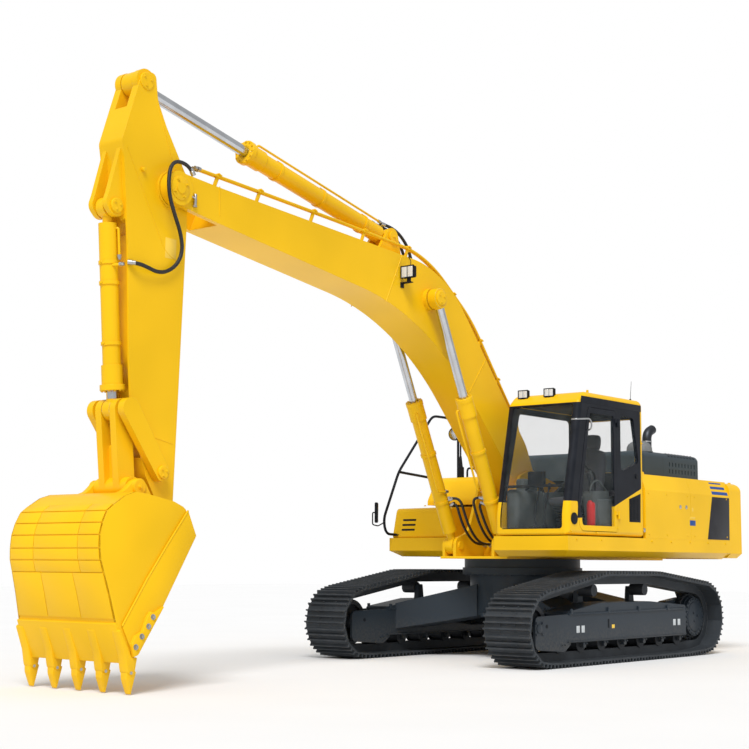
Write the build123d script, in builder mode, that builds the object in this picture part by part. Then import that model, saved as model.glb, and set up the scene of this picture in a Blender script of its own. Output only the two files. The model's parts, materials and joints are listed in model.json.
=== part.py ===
"""Crawler excavator of the 35 tonne class, parked with its bucket standing on its teeth.

Frame: millimetres, origin on the ground under the slewing axis, +X forward, +Y to the cab's side,
+Z up. Side outlines are drawn in X and Z, or along and across an arm's own pin line, and are
stretched across the machine. Outline tables hold rows of (along, up, corner radius).
"""

import os
from math import asin, atan2, cos, degrees, hypot, radians, sin, sqrt, tan

from build123d import *

# ---------------------------------------------------------------- driving dimensions
# Undercarriage
track_gauge = 2590.0
shoe_width = 600.0
shoe_pitch = 216.0
shoe_thickness = 13.0
grouser_height = 36.0
grouser_base = 26.0
grouser_tip = 14.0
chain_height = 107.0
chain_width = 190.0
idler_x = 1885.0
idler_radius = 268.0
idler_lift = 5.0
sprocket_x = -1862.0
sprocket_radius = 296.0
sprocket_lift = 22.0
sprocket_teeth = 21
carrier_spread = 1200.0
carrier_radius = 70.0
carrier_top = 1056.0
roller_count = 7
roller_radius = 80.0
roller_flange = 98.0
roller_span = 2760.0
frame_half_width = 165.0
frame_bottom = 255.0
roller_roof = 345.0
roller_half = 110.0
frame_top = 600.0
ground_clearance = 498.0
tow_x = 795.0
tow_edge = 65.0
tow_radius = 32.0
tow_thickness = 40.0
tower_radius = 690.0
ring_radius = 745.0
ring_low = 1000.0
ring_split = 1085.0
bearing_gap = 0.5

# Upper structure
weight_gap = 4.0
deck_low = 1210.0
deck_high = 1450.0
deck_width = 2995.0
deck_rear_x = -2748.0
deck_left_front = 1335.0
deck_right_front = 790.0
deck_inner = 488.0
deck_plate = 20.0
skirt_slope = 78.0
skirt_drop = 130.0
tail_radius = 3440.0
tail_low = 1225.0
lifting_x = -3130.0
lifting_spread = 1700.0
lifting_radius = 21.0
lifting_depth = 87.5
body_top = 2235.0
body_bevel = 195.0
body_lean = 62.0
panel_thickness = 40.0
body_seam_x = -1640.0
hood_front_x = -1270.0
hood_rear_x = -2905.0
hood_half_width = 1000.0
hood_top = 2600.0
hood_wall = 30.0
web_inner = 262.0
web_thickness = 40.0

# Cab
mount_spread = 1300.0
cab_inner_y = 500.0
cab_outer_y = 1497.5
cab_rear_x = -430.0
cab_front_x = 1335.0
cab_floor_z = 1462.0
cab_top_z = 3125.0
cab_wall = 46.0
cab_lean = 285.0
glass_thickness = 6.0
glass_seat = 0.3
door_rear_x = 225.0
door_gap = 6.0

# Working equipment: pin places in the parked pose
boom_foot = (310.0, 2100.0)
boom_length = 6470.0
boom_rise = 23.2
boom_half_width = 250.0
arm_length = 3185.0
arm_lean = -89.5
arm_half_width = 165.0
bucket_reach = 1660.0
boom_jack_foot = (960.0, 1350.0)
boom_jack_eye = (2614.0, 1099.0)
arm_jack_foot = (3352.0, 1501.0)
arm_jack_eye = (-983.0, 352.0)
bucket_jack_foot = (274.0, 645.0)
link_pin = (2143.0, 484.0)
side_link_pin = (2700.0, 80.0)
bucket_ear_pin = (2852.0, 408.0)
pin_clearance = 0.1
side_clearance = 6.0
rod_clearance = 0.3

# Cylinders: rows of barrel and rod sizes
boom_jack_closed = 2000.0
arm_jack_closed = 2480.0
bucket_jack_closed = 1810.0
boom_jack_y = 365.0


# ---------------------------------------------------------------- helpers
def turned(point, angle):
    """Turn a point of the side view about the origin."""
    a = radians(angle)
    return (point[0] * cos(a) - point[1] * sin(a), point[0] * sin(a) + point[1] * cos(a))


def moved(origin, point, angle):
    """The place of a point that is given along and across a pin line."""
    along, across_line = turned(point, angle)
    return (origin[0] + along, origin[1] + across_line)


def line_plane(origin, angle):
    """A side view plane at a pin, its first axis along the pin line."""
    a = radians(angle)
    return Plane(origin=(origin[0], 0, origin[1]), x_dir=(cos(a), 0, sin(a)), z_dir=(0, -1, 0))


def rounded(table):
    """A closed outline of (along, up, corner radius) rows; a radius ends where its runs end."""
    points = [Vector(along, up) for along, up, radius in table]
    radii = []
    for i, (along, up, radius) in enumerate(table):
        back = points[i - 1] - points[i]
        ahead = points[(i + 1) % len(points)] - points[i]
        turn = radians(180 - back.get_angle(ahead))
        longest = 0.48 * min(back.length, ahead.length)
        radii.append(min(radius, longest / max(tan(turn / 2), 0.001)))
    FilletPolyline(*points, radius=radii, close=True)


def slab(base, table, y_low, y_high, mode=Mode.ADD):
    """Add an outline of (along, up, corner radius) rows between two places across the machine."""
    with BuildSketch(base.offset(-y_high)) as outline:
        with BuildLine():
            rounded(table)
        make_face()
    extrude(outline.sketch, amount=y_high - y_low, mode=mode)


def disc(base, centre, radius, y_low, y_high, mode=Mode.ADD):
    """Add a round bar across the machine between two places."""
    with BuildSketch(base.offset(-y_high)) as outline:
        with Locations(centre):
            Circle(radius)
    extrude(outline.sketch, amount=y_high - y_low, mode=mode)


def link(base, first, first_radius, second, second_radius, y_low, y_high, mode=Mode.ADD):
    """Add a flat link: two round ends and the straight sides that touch both."""
    with BuildSketch(base.offset(-y_high)) as outline:
        with Locations(first):
            Circle(first_radius)
        with Locations(second):
            Circle(second_radius)
        make_hull()
    extrude(outline.sketch, amount=y_high - y_low, mode=mode)


def pair(inner, outer):
    """The same stretch on the right and on the left of the machine's middle."""
    return ((-outer, -inner), (inner, outer))


def finish(shape, name):
    """Label a finished piece and write it."""
    shape.label = name
    export_step(shape, f"parts/{name}.step")


os.makedirs("parts", exist_ok=True)
side_view = Plane.XZ
boom_tip = moved(boom_foot, (boom_length, 0), boom_rise)
bucket_pin = moved(boom_tip, (arm_length, 0), arm_lean)
bucket_lean = -degrees(asin(bucket_pin[1] / bucket_reach))
boom_line = line_plane(boom_foot, boom_rise)
arm_line = line_plane(boom_tip, arm_lean)
bucket_line = line_plane(bucket_pin, bucket_lean)

# ---------------------------------------------------------------- undercarriage
track_y = track_gauge / 2
belt_height = chain_height + shoe_thickness
rail_z = grouser_height + belt_height
seat_gap = 0.3
idler_z = rail_z + idler_radius + seat_gap + idler_lift
sprocket_z = rail_z + sprocket_radius + seat_gap + sprocket_lift
roller_z = rail_z + roller_radius + seat_gap
carrier_z = carrier_top - grouser_height - belt_height - carrier_radius - seat_gap
roller_step = roller_span / (roller_count - 1)
roller_xs = [-roller_span / 2 + 10 + i * roller_step for i in range(roller_count)]
carrier_xs = (-carrier_spread / 2, carrier_spread / 2)
# wheels that carry the belt: (x, z, radius)
belt_wheels = [
    (idler_x, idler_z, idler_radius),
    (sprocket_x, sprocket_z, sprocket_radius),
    (carrier_xs[0], carrier_z, carrier_radius),
    (carrier_xs[1], carrier_z, carrier_radius),
    (roller_xs[0], roller_z, roller_radius),
    (roller_xs[-1], roller_z, roller_radius),
]


def belt_outline(height):
    """The tight loop round the wheels at a height over their treads."""
    with BuildSketch() as loop:
        for x, z, radius in belt_wheels:
            with Locations((x, z)):
                Circle(radius + seat_gap + height)
        make_hull()
    return loop.sketch.face()


shoe_line = belt_outline(belt_height).outer_wire()
shoe_count = round(shoe_line.length / shoe_pitch)
joints = [shoe_line @ (i / shoe_count) for i in range(shoe_count)]
belt_middle = Vector((idler_x + sprocket_x) / 2, (idler_z + sprocket_z) / 2)
clockwise = 1 if (joints[0] - belt_middle).cross(joints[1] - belt_middle).Z < 0 else -1


def outward(start, end):
    """The direction that points out of the belt between two joints."""
    along = (end - start).normalized()
    return Vector(-along.Y, along.X) * clockwise


def belt_points(depth):
    """The joints of the shoes, moved into the belt by a depth."""
    return [
        joints[i] - outward(joints[i - 1], joints[(i + 1) % shoe_count]) * depth
        for i in range(shoe_count)
    ]


joint_dip = 8.0
grouser_places = (0.17, 0.5, 0.83)
shoe_points = []
for i, start in enumerate(belt_points(joint_dip)):
    end = joints[(i + 1) % shoe_count]
    out = outward(joints[i], end)
    shoe_points.append(start)
    for share in grouser_places:
        foot = joints[i] + (end - joints[i]) * share
        along = (end - joints[i]).normalized()
        shoe_points += [
            foot - along * grouser_base / 2,
            foot - along * grouser_tip / 2 + out * grouser_height,
            foot + along * grouser_tip / 2 + out * grouser_height,
            foot + along * grouser_base / 2,
        ]

for name, centre in (("track_left", track_y), ("track_right", -track_y)):
    with BuildPart() as track:
        with BuildSketch(side_view.offset(-centre - shoe_width / 2)):
            Polygon(*[(p.X, p.Y) for p in shoe_points], align=None)
            inner = belt_points(joint_dip + shoe_thickness)
            Polygon(*[(p.X, p.Y) for p in inner], align=None, mode=Mode.SUBTRACT)
        extrude(amount=shoe_width)
        with BuildSketch(side_view.offset(-centre - chain_width / 2)):
            middle = belt_points(joint_dip + shoe_thickness / 2)
            Polygon(*[(p.X, p.Y) for p in middle], align=None)
            add(belt_outline(0), mode=Mode.SUBTRACT)
        extrude(amount=chain_width)
    finish(track.part, name)

nose_x = idler_x + 75
nose_low = 140.0
nose_high = 575.0
nose_root_x = 1300.0
plate_edge = 35.0
bracket_half = 45.0
drive_face = 40.0
hub_radius = 225.0
cover_radius = 245.0
cover_face = 108.0
post_y = 60.0
for name, centre in (("track_frame_left", track_y), ("track_frame_right", -track_y)):
    outer_side = 1 if centre > 0 else -1
    with BuildPart() as track_frame:
        box_outline = [
            (sprocket_x + 345, frame_bottom, 0),
            (sprocket_x + 345, frame_top + 30, 40),
            (carrier_xs[0], frame_top + 90, 60),
            (carrier_xs[1], frame_top + 90, 60),
            (nose_root_x, frame_top, 40),
            (nose_root_x, frame_bottom, 0),
        ]
        slab(side_view, box_outline, centre - frame_half_width, centre + frame_half_width)
        # Channel that the rollers run in
        channel = [(-2500, 0, 0), (-2500, roller_roof, 0), (2500, roller_roof, 0), (2500, 0, 0)]
        slab(side_view, channel, centre - roller_half - seat_gap, centre + roller_half + seat_gap,
             Mode.SUBTRACT)
        # Nose plates that guide the idler
        nose_outline = [
            (nose_root_x - 60, frame_bottom - 20, 20),
            (nose_root_x - 60, nose_high, 0),
            (nose_x, nose_high - 15, 60),
            (nose_x, nose_low + 60, 70),
            (nose_root_x + 60, nose_low + 20, 60),
        ]
        for y_low, y_high in pair(frame_half_width - plate_edge, frame_half_width):
            slab(side_view, nose_outline, centre + y_low, centre + y_high)
        # Roller brackets below the side plates
        for x in roller_xs:
            for y_low, y_high in pair(roller_half + seat_gap, frame_half_width - 5):
                bracket = [
                    (x - bracket_half, frame_bottom + 5, 0),
                    (x + bracket_half, frame_bottom + 5, 0),
                    (x + bracket_half / 2, roller_z - bracket_half, 12),
                    (x - bracket_half / 2, roller_z - bracket_half, 12),
                ]
                slab(side_view, bracket, centre + y_low, centre + y_high)
        # Carrier roller posts
        for x in carrier_xs:
            post = [
                (x - 75, frame_top, 0),
                (x + 75, frame_top, 0),
                (x + 40, carrier_z + 40, 20),
                (x - 40, carrier_z + 40, 20),
            ]
            inner_y = -outer_side * (chain_width / 2 + post_y)
            y_low, y_high = sorted((inner_y, inner_y + outer_side * post_y))
            slab(side_view, post, centre + y_low, centre + y_high)
        # Motor flange behind the final drive
        y_low, y_high = sorted((-outer_side * frame_half_width, -outer_side * drive_face))
        link(side_view, (sprocket_x, sprocket_z), hub_radius + 15, (sprocket_x + 400, 525),
             150, centre + y_low, centre + y_high)
    finish(track_frame.part, name)

for name, centre in (("rollers_left", track_y), ("rollers_right", -track_y)):
    outer_side = 1 if centre > 0 else -1
    with BuildPart() as rollers:
        flange_y = chain_width / 2 + 2
        end_y = roller_half
        for x in roller_xs:
            disc(side_view, (x, roller_z), roller_radius, centre - flange_y, centre + flange_y)
            for y_low, y_high in pair(flange_y, end_y):
                disc(side_view, (x, roller_z), roller_flange, centre + y_low, centre + y_high)
        for x in carrier_xs:
            reach = sorted((-outer_side * chain_width / 2, outer_side * chain_width / 2))
            disc(side_view, (x, carrier_z), carrier_radius, centre + reach[0], centre + reach[1])
    finish(rollers.part, name)

with BuildPart() as idlers:
    for centre in (track_y, -track_y):
        disc(side_view, (idler_x, idler_z), idler_radius, centre - 85, centre + 85)
        for y_low, y_high in pair(45, 85 + seat_gap):
            disc(side_view, (idler_x, idler_z), idler_radius - 55, centre + y_low,
                 centre + y_high, Mode.SUBTRACT)
        hub_end = frame_half_width - plate_edge - seat_gap
        disc(side_view, (idler_x, idler_z), 80, centre - hub_end, centre + hub_end)
finish(idlers.part, "idlers")

tooth_angle = 360 / sprocket_teeth
with BuildPart() as sprockets:
    for centre in (track_y, -track_y):
        with BuildSketch(side_view.offset(-centre - 30)):
            with Locations((sprocket_x, sprocket_z)):
                Circle(sprocket_radius)
                with PolarLocations(sprocket_radius + 12, sprocket_teeth):
                    Circle(30, mode=Mode.SUBTRACT)
                Circle(hub_radius + seat_gap, mode=Mode.SUBTRACT)
        extrude(amount=60)
finish(sprockets.part, "sprockets")

with BuildPart() as final_drives:
    for side in (1, -1):
        centre = side * track_y
        # stretches of the drive outwards from the middle of its track: (from, to, radius)
        for start, end, radius in (
            (-drive_face, 30 + seat_gap, hub_radius),
            (30 + seat_gap, 70, cover_radius + 20),
            (70, cover_face, cover_radius),
        ):
            y_low, y_high = sorted((centre + side * start, centre + side * end))
            disc(side_view, (sprocket_x, sprocket_z), radius, y_low, y_high)
finish(final_drives.part, "final_drives")

with BuildPart() as car_body:
    with BuildSketch(Plane.XY.offset(ground_clearance)):
        Circle(tower_radius - 40)
    extrude(amount=ring_low - ground_clearance)
    with BuildSketch(Plane.XY.offset(ring_low)):
        Circle(ring_radius)
    extrude(amount=ring_split - ring_low)
    leg_end = track_y - frame_half_width - seat_gap
    for front in (1, -1):
        for side in (1, -1):
            # leg sections: (distance from the middle, near edge, far edge, bottom, top)
            sections = (
                (260, 60, 620, ground_clearance, 880),
                (leg_end, 480, 1130, 330, 640),
            )
            with BuildPart(mode=Mode.PRIVATE) as leg:
                for y, near, far, low, high in sections:
                    with BuildSketch(side_view.offset(-side * y)):
                        Polygon((front * near, low), (front * far, low), (front * far, high),
                                (front * near, high), align=None)
                loft(ruled=True)
            add(leg.part)
    # Towing plates at the front and at the rear of the middle, each with an upright hole
    for end in (1, -1):
        with BuildSketch(Plane.XY.offset(ground_clearance)):
            with Locations((end * tow_x, 0)):
                Circle(tow_edge)
            with Locations((end * (tower_radius - 60), 0)):
                Rectangle(30, 4.5 * tow_edge)
            make_hull()
            with Locations((end * tow_x, 0)):
                Circle(tow_radius, mode=Mode.SUBTRACT)
        extrude(amount=tow_thickness)
finish(car_body.part, "car_body")

# ---------------------------------------------------------------- upper structure
with BuildPart() as slew_ring:
    with BuildSketch(Plane.XY.offset(ring_split + bearing_gap)):
        Circle(ring_radius - 25)
        Circle(ring_radius - 160, mode=Mode.SUBTRACT)
    extrude(amount=deck_low - 20 - ring_split - bearing_gap)
finish(slew_ring.part, "slew_ring")

frame_nose_x = boom_jack_foot[0] + 100
jack_lug_y = boom_jack_y + 62
jack_lug = 36.0
with BuildPart() as revolving_frame:
    # Floor plate
    with BuildSketch(Plane.XY.offset(deck_low - 20)):
        with Locations(((frame_nose_x + deck_rear_x) / 2, 0)):
            Rectangle(frame_nose_x - deck_rear_x, 2 * deck_inner)
    extrude(amount=30)
    # Main webs that hold the boom foot and the boom cylinders' feet
    tail_x = deck_rear_x - weight_gap + seat_gap
    web_outline = [
        (tail_x, deck_low, 0),
        (tail_x, deck_low + 420, 60),
        (-900, deck_low + 480, 200),
        (-330, boom_foot[1] + 40, 200),
        (boom_foot[0] - 60, boom_foot[1] + 190, 120),
        (boom_foot[0] + 190, boom_foot[1] + 100, 120),
        (boom_jack_foot[0] - 175, boom_jack_foot[1] + 160, 200),
        (boom_jack_foot[0] + 95, boom_jack_foot[1] + 80, 90),
        (boom_jack_foot[0] + 95, deck_low, 0),
    ]
    for y_low, y_high in pair(web_inner, web_inner + web_thickness):
        slab(side_view, web_outline, y_low, y_high)
    # Outer lugs of the cylinders' feet
    lug_outline = [
        (boom_jack_foot[0] - 150, deck_low, 0),
        (boom_jack_foot[0] - 95, boom_jack_foot[1] + 80, 80),
        (boom_jack_foot[0] + 95, boom_jack_foot[1] + 80, 80),
        (boom_jack_foot[0] + 95, deck_low, 0),
    ]
    for y_low, y_high in pair(jack_lug_y, jack_lug_y + jack_lug):
        slab(side_view, lug_outline, y_low, y_high)
    # Pins of the cylinders' feet and of the boom's foot
    for y_low, y_high in pair(web_inner - 20, jack_lug_y + jack_lug + 20):
        disc(side_view, boom_jack_foot, 50, y_low, y_high)
    disc(side_view, boom_foot, 60, -web_inner - web_thickness - 25, web_inner + web_thickness + 25)
    # Boom foot bosses on the webs
    for y_low, y_high in pair(web_inner - 6, web_inner):
        disc(side_view, boom_foot, 130, y_low, y_high)
finish(revolving_frame.part, "revolving_frame")

# side decks: (name, inner edge, outer edge, front end)
for name, inner_y, outer_y, front_x in (
    ("deck_left", deck_inner, deck_width / 2, deck_left_front),
    ("deck_right", -deck_inner, -deck_width / 2, deck_right_front),
):
    with BuildPart() as deck:
        with BuildSketch(Plane.XY.offset(deck_low)):
            with Locations(((front_x + deck_rear_x) / 2, (inner_y + outer_y) / 2)):
                Rectangle(front_x - deck_rear_x, abs(outer_y - inner_y))
        extrude(amount=deck_high - deck_low)
        low_edges = deck.faces().sort_by(Axis.Z)[0].edges()
        skirt_edges = low_edges.sort_by(Axis.Y)[-1 if outer_y > 0 else 0]
        chamfer([skirt_edges, low_edges.sort_by(Axis.X)[-1]], skirt_slope, skirt_drop)
        with BuildSketch(Plane.XY.offset(deck_low)):
            with Locations(((front_x + deck_rear_x) / 2, (inner_y + outer_y) / 2)):
                Rectangle(front_x - deck_rear_x - 2 * skirt_slope - 4 * deck_plate,
                          abs(outer_y - inner_y) - 2 * skirt_slope - 4 * deck_plate)
        extrude(amount=deck_high - deck_low - deck_plate, mode=Mode.SUBTRACT)
        if outer_y > 0:
            # Rubber mounts under the cab
            with BuildSketch(Plane.XY.offset(deck_high)):
                with Locations(((cab_rear_x + cab_front_x) / 2, (cab_inner_y + cab_outer_y) / 2)):
                    with GridLocations(mount_spread, mount_spread / 2, 2, 2):
                        Circle(60)
            extrude(amount=cab_floor_z - deck_high - seat_gap)
    finish(deck.part, name)

with BuildPart() as counterweight:
    with BuildSketch(Plane.XY.offset(tail_low)):
        Circle(tail_radius)
        with Locations((deck_rear_x - weight_gap, 0)):
            Rectangle(2 * tail_radius, deck_width - 4, align=(Align.MAX, Align.CENTER),
                      mode=Mode.INTERSECT)
    extrude(amount=body_top - 10 - tail_low)
    rear_faces = counterweight.faces().filter_by(GeomType.CYLINDER)
    top_edges = counterweight.faces().sort_by(Axis.Z)[-1].edges()
    fillet(top_edges.sort_by(Axis.X)[:3], 110)
    with BuildSketch(Plane.XY.offset(body_top - 10)):
        with Locations((lifting_x, 0)):
            with GridLocations(1, lifting_spread, 1, 2):
                Circle(lifting_radius)
    extrude(amount=-lifting_depth, mode=Mode.SUBTRACT)
    bottom_edges = counterweight.faces().sort_by(Axis.Z)[0].edges()
    chamfer(bottom_edges.sort_by(Axis.X)[:3], 60)
finish(counterweight.part, "counterweight")

with BuildPart() as engine_block:
    with BuildSketch(Plane.XY.offset(deck_low + 10 + seat_gap)):
        with Locations((-1980, 0)):
            Rectangle(1250, 2 * web_inner - 2 * seat_gap)
    extrude(amount=body_top - 120 - deck_low)
finish(engine_block.part, "engine_block")


def body_side(side, x_low, x_high):
    """A side of the engine room: an upright panel, its leaning top and the roof's edge."""
    outer = side * (deck_width / 2 - 2)
    wall = side * panel_thickness
    return Polygon(
        (outer, deck_high + seat_gap),
        (outer, body_top - body_bevel),
        (outer - side * body_lean, body_top),
        (side * (hood_half_width - 60), body_top),
        (side * (hood_half_width - 60), body_top - panel_thickness),
        (outer - side * body_lean - wall, body_top - panel_thickness),
        (outer - wall, body_top - body_bevel),
        (outer - wall, deck_high + seat_gap),
        align=None,
    )


# engine room panels: (name, side, front end, seam)
for name, side, front_x, seam_x in (
    ("body_panels_left", 1, cab_rear_x - 30, body_seam_x),
    ("body_panels_right", -1, -1195, body_seam_x - 300),
):
    with BuildPart() as body_panels:
        for x_low, x_high in ((seam_x + 3, front_x), (deck_rear_x, seam_x - 3)):
            with BuildSketch(Plane.YZ.offset(x_low)):
                body_side(side, x_low, x_high)
            extrude(amount=x_high - x_low)
    finish(body_panels.part, name)

slot_count = 9
slot_pitch = 88.0
with BuildPart() as hood:
    with BuildSketch(Plane.XY.offset(body_top + seat_gap)):
        with Locations(((hood_front_x + hood_rear_x) / 2, 0)):
            Rectangle(hood_front_x - hood_rear_x, 2 * hood_half_width)
    extrude(amount=hood_top - body_top)
    hood_bottom = hood.faces().sort_by(Axis.Z)[0]
    fillet(hood.edges().filter_by(Axis.Z), 90)
    fillet(hood.faces().sort_by(Axis.Z)[-1].edges(), 80)
    offset(amount=-hood_wall, openings=hood.faces().sort_by(Axis.Z)[0])
    louvre_x = hood_rear_x + 130 + slot_count * slot_pitch / 2
    with BuildSketch(Plane.XZ.offset(hood_half_width + 5)):
        with Locations((louvre_x, hood_top - 150), (louvre_x, hood_top - 240)):
            with GridLocations(slot_pitch, 1, slot_count, 1):
                SlotOverall(62, 26, rotation=90)
    extrude(amount=-2 * hood_half_width - 10, mode=Mode.SUBTRACT)
finish(hood.part, "hood")

exhaust_x = -2080.0
exhaust_y = 640.0
exhaust_radius = 62.0
with BuildPart() as exhaust:
    with BuildLine():
        FilletPolyline(
            (exhaust_x, exhaust_y, hood_top + 1),
            (exhaust_x, exhaust_y, hood_top + 290),
            (exhaust_x - 150, exhaust_y, hood_top + 350),
            radius=130,
        )
    with BuildSketch(Plane.XY.offset(hood_top + 1).move(Location((exhaust_x, exhaust_y, 0)))):
        Circle(exhaust_radius)
        Circle(exhaust_radius - 4, mode=Mode.SUBTRACT)
    sweep()
finish(exhaust.part, "exhaust")

box_front_x = deck_right_front - 60
box_top = 1860.0
with BuildPart() as tool_box:
    outline = [
        (-395, deck_high + seat_gap, 0),
        (-395, box_top + 20, 10),
        (box_front_x - 90, box_top - 35, 70),
        (box_front_x, deck_high + seat_gap, 20),
    ]
    slab(side_view, outline, -deck_width / 2 + 4, -640)
    with BuildSketch(side_view.offset(deck_width / 2)):
        with Locations((390, 1680)):
            with GridLocations(1, 42, 1, 3):
                SlotOverall(230, 22)
    extrude(amount=-40, mode=Mode.SUBTRACT)
finish(tool_box.part, "tool_box")

with BuildPart() as fuel_tank:
    outline = [
        (-1190, deck_high + seat_gap, 0),
        (-1190, 2290, 30),
        (-210, 2262, 150),
        (-10, 1950, 120),
        (-10, box_top + 30, 0),
        (-401, box_top + 30, 0),
        (-401, deck_high + seat_gap, 0),
    ]
    slab(side_view, outline, -deck_width / 2 + 4, -700)
finish(fuel_tank.part, "fuel_tank")

# ---------------------------------------------------------------- cab
cab_outline = [
    (cab_rear_x, cab_floor_z, 20),
    (cab_rear_x, cab_top_z, 90),
    (cab_front_x - cab_lean - 130, cab_top_z, 160),
    (cab_front_x - cab_lean, cab_top_z - 110, 90),
    (cab_front_x, cab_floor_z + 230, 500),
    (cab_front_x, cab_floor_z, 25),
]


def inset_table(table, amount):
    """An outline table's closed shape, made smaller all round."""
    with BuildSketch() as shape:
        with BuildLine():
            rounded(table)
        make_face()
        offset(amount=-amount)
    return shape.sketch


def window(base, sketch, y_low, y_high, mode=Mode.SUBTRACT):
    """Cut or add a shape of the side view between two places across the machine."""
    with BuildSketch(base.offset(-y_high)) as outline:
        add(sketch)
    extrude(outline.sketch, amount=y_high - y_low, mode=mode)


pillar = 78.0
front_slope = cab_lean / (cab_top_z - 110 - cab_floor_z - 230)
door_top_z = cab_top_z - 175
door_low_z = cab_floor_z + 45
door_front_low = cab_front_x - 215
door_table = [
    (door_rear_x, door_low_z, 40),
    (door_rear_x, door_top_z, 60),
    (door_front_low - front_slope * (door_top_z - 1830), door_top_z, 80),
    (door_front_low, 1830, 150),
    (door_front_low - 40, door_low_z, 110),
]
rear_window_table = [
    (door_rear_x - 95, 2230, 40),
    (door_rear_x - 95, door_top_z - 40, 50),
    (cab_rear_x + 245, door_top_z - 60, 50),
    (cab_rear_x + 125, 2360, 50),
]
right_window_table = [
    (cab_rear_x + 110, 2230, 60),
    (cab_rear_x + 110, door_top_z - 30, 60),
    (cab_front_x - cab_lean - 190, door_top_z - 30, 60),
    (cab_front_x - 160, 1830, 60),
    (350, 1830, 60),
]

with BuildPart(mode=Mode.PRIVATE) as cab_walls:
    slab(side_view, cab_outline, cab_inner_y, cab_outer_y)
    fillet(cab_walls.edges().filter_by(Axis.Z).filter_by_position(Axis.X, -500, -400), 60)
    window(side_view, inset_table(cab_outline, cab_wall), cab_inner_y + cab_wall,
           cab_outer_y - cab_wall)
    # Windscreen
    with BuildSketch(Plane.YZ.offset(cab_front_x - 700)):
        with Locations(((cab_inner_y + cab_outer_y) / 2, (1530 + 2975) / 2)):
            RectangleRounded(cab_outer_y - cab_inner_y - 2 * pillar, 2975 - 1530, 40)
    extrude(amount=800, mode=Mode.SUBTRACT)
    # Rear window
    with BuildSketch(Plane.YZ.offset(cab_rear_x - 50)):
        with Locations(((cab_inner_y + cab_outer_y) / 2, 2580)):
            RectangleRounded(cab_outer_y - cab_inner_y - 2.6 * pillar, 640, 60)
    extrude(amount=200, mode=Mode.SUBTRACT)
    slab(side_view, door_table, cab_outer_y - 100, cab_outer_y + 10, Mode.SUBTRACT)
    slab(side_view, rear_window_table, cab_outer_y - 100, cab_outer_y + 10, Mode.SUBTRACT)
    slab(side_view, right_window_table, cab_inner_y - 10, cab_inner_y + 100, Mode.SUBTRACT)

door_outer_y = cab_outer_y + 2
door_inner_y = cab_outer_y - 38
hinge_x = door_rear_x - 12
hinge_y = cab_outer_y + 16
hinge_radius = 15.0
hinge_length = 45.0
hinge_pin = 7.0
hinge_low_z = 1665.0
hinge_high_z = 2760.0


def hinge(low, leaf_end, leaf_y, bored):
    """A knuckle of the door's hinge with its leaf; the lower knuckle carries the pin."""
    with BuildPart(mode=Mode.PRIVATE) as knuckle:
        with BuildSketch(Plane.XY.offset(low)):
            with Locations((hinge_x, hinge_y)):
                Circle(hinge_radius)
            with Locations(((hinge_x + leaf_end) / 2, (leaf_y + hinge_y) / 2)):
                Rectangle(abs(leaf_end - hinge_x), hinge_y - leaf_y)
            if bored:
                with Locations((hinge_x, hinge_y)):
                    Circle(hinge_pin + pin_clearance, mode=Mode.SUBTRACT)
        extrude(amount=hinge_length)
        if not bored:
            with BuildSketch(Plane.XY.offset(low)):
                with Locations((hinge_x, hinge_y)):
                    Circle(hinge_pin)
            extrude(amount=2 * hinge_length)
    return knuckle.part


roof_z = cab_top_z - 135
# The line where the lower yellow panels meet the dark pillars
lower_table = [
    (cab_rear_x - 50, cab_floor_z - 50, 0),
    (cab_rear_x - 50, roof_z, 0),
    (cab_rear_x + 75, roof_z, 0),
    (cab_rear_x + 75, 2045, 30),
    (door_rear_x + 60, 1815, 60),
    (door_rear_x + 240, 1690, 60),
    (cab_front_x + 50, 1640, 0),
    (cab_front_x + 50, cab_floor_z - 50, 0),
]
front_corner_table = [
    (cab_front_x - 205, 1600, 0),
    (cab_front_x - 225, 1845, 30),
    (cab_front_x + 50, 1845, 0),
    (cab_front_x + 50, 1600, 0),
]
with BuildPart(mode=Mode.PRIVATE) as lower_region:
    slab(side_view, lower_table, cab_inner_y - 50, cab_outer_y + 50)
    slab(side_view, front_corner_table, cab_inner_y - 50, cab_outer_y + 50)
with BuildPart(mode=Mode.PRIVATE) as roof_region:
    slab(side_view, [(-1000, roof_z, 0), (-1000, 4000, 0), (2000, 4000, 0), (2000, roof_z, 0)],
         cab_inner_y - 50, cab_outer_y + 50)

with BuildPart() as cab_lower:
    add(cab_walls.part)
    add(lower_region.part, mode=Mode.INTERSECT)
    add(hinge(hinge_low_z, hinge_x - 40, cab_outer_y - 1, False))
finish(cab_lower.part, "cab_lower")

with BuildPart() as cab_roof:
    add(cab_walls.part)
    add(roof_region.part, mode=Mode.INTERSECT)
finish(cab_roof.part, "cab_roof")

with BuildPart() as cab_pillars:
    add(cab_walls.part)
    add(lower_region.part, mode=Mode.SUBTRACT)
    add(roof_region.part, mode=Mode.SUBTRACT)
    add(hinge(hinge_high_z, hinge_x - 40, cab_outer_y - 1, False))
finish(cab_pillars.part, "cab_pillars")

# Door: a frame round its glass, its lower panel and the glass
door_stile = 62.0
door_glass_z = 1600.0
door_shape = inset_table(door_table, door_gap)
glass_shape = inset_table(door_table, door_gap + door_stile)
with BuildPart() as door_frame:
    window(side_view, door_shape, door_inner_y, door_outer_y, Mode.ADD)
    window(side_view, glass_shape, door_inner_y - 5, door_outer_y + 5)
    add(lower_region.part, mode=Mode.SUBTRACT)
    add(hinge(hinge_high_z + hinge_length + seat_gap, hinge_x + 60, door_outer_y, True))
finish(door_frame.part, "door_frame")

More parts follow.
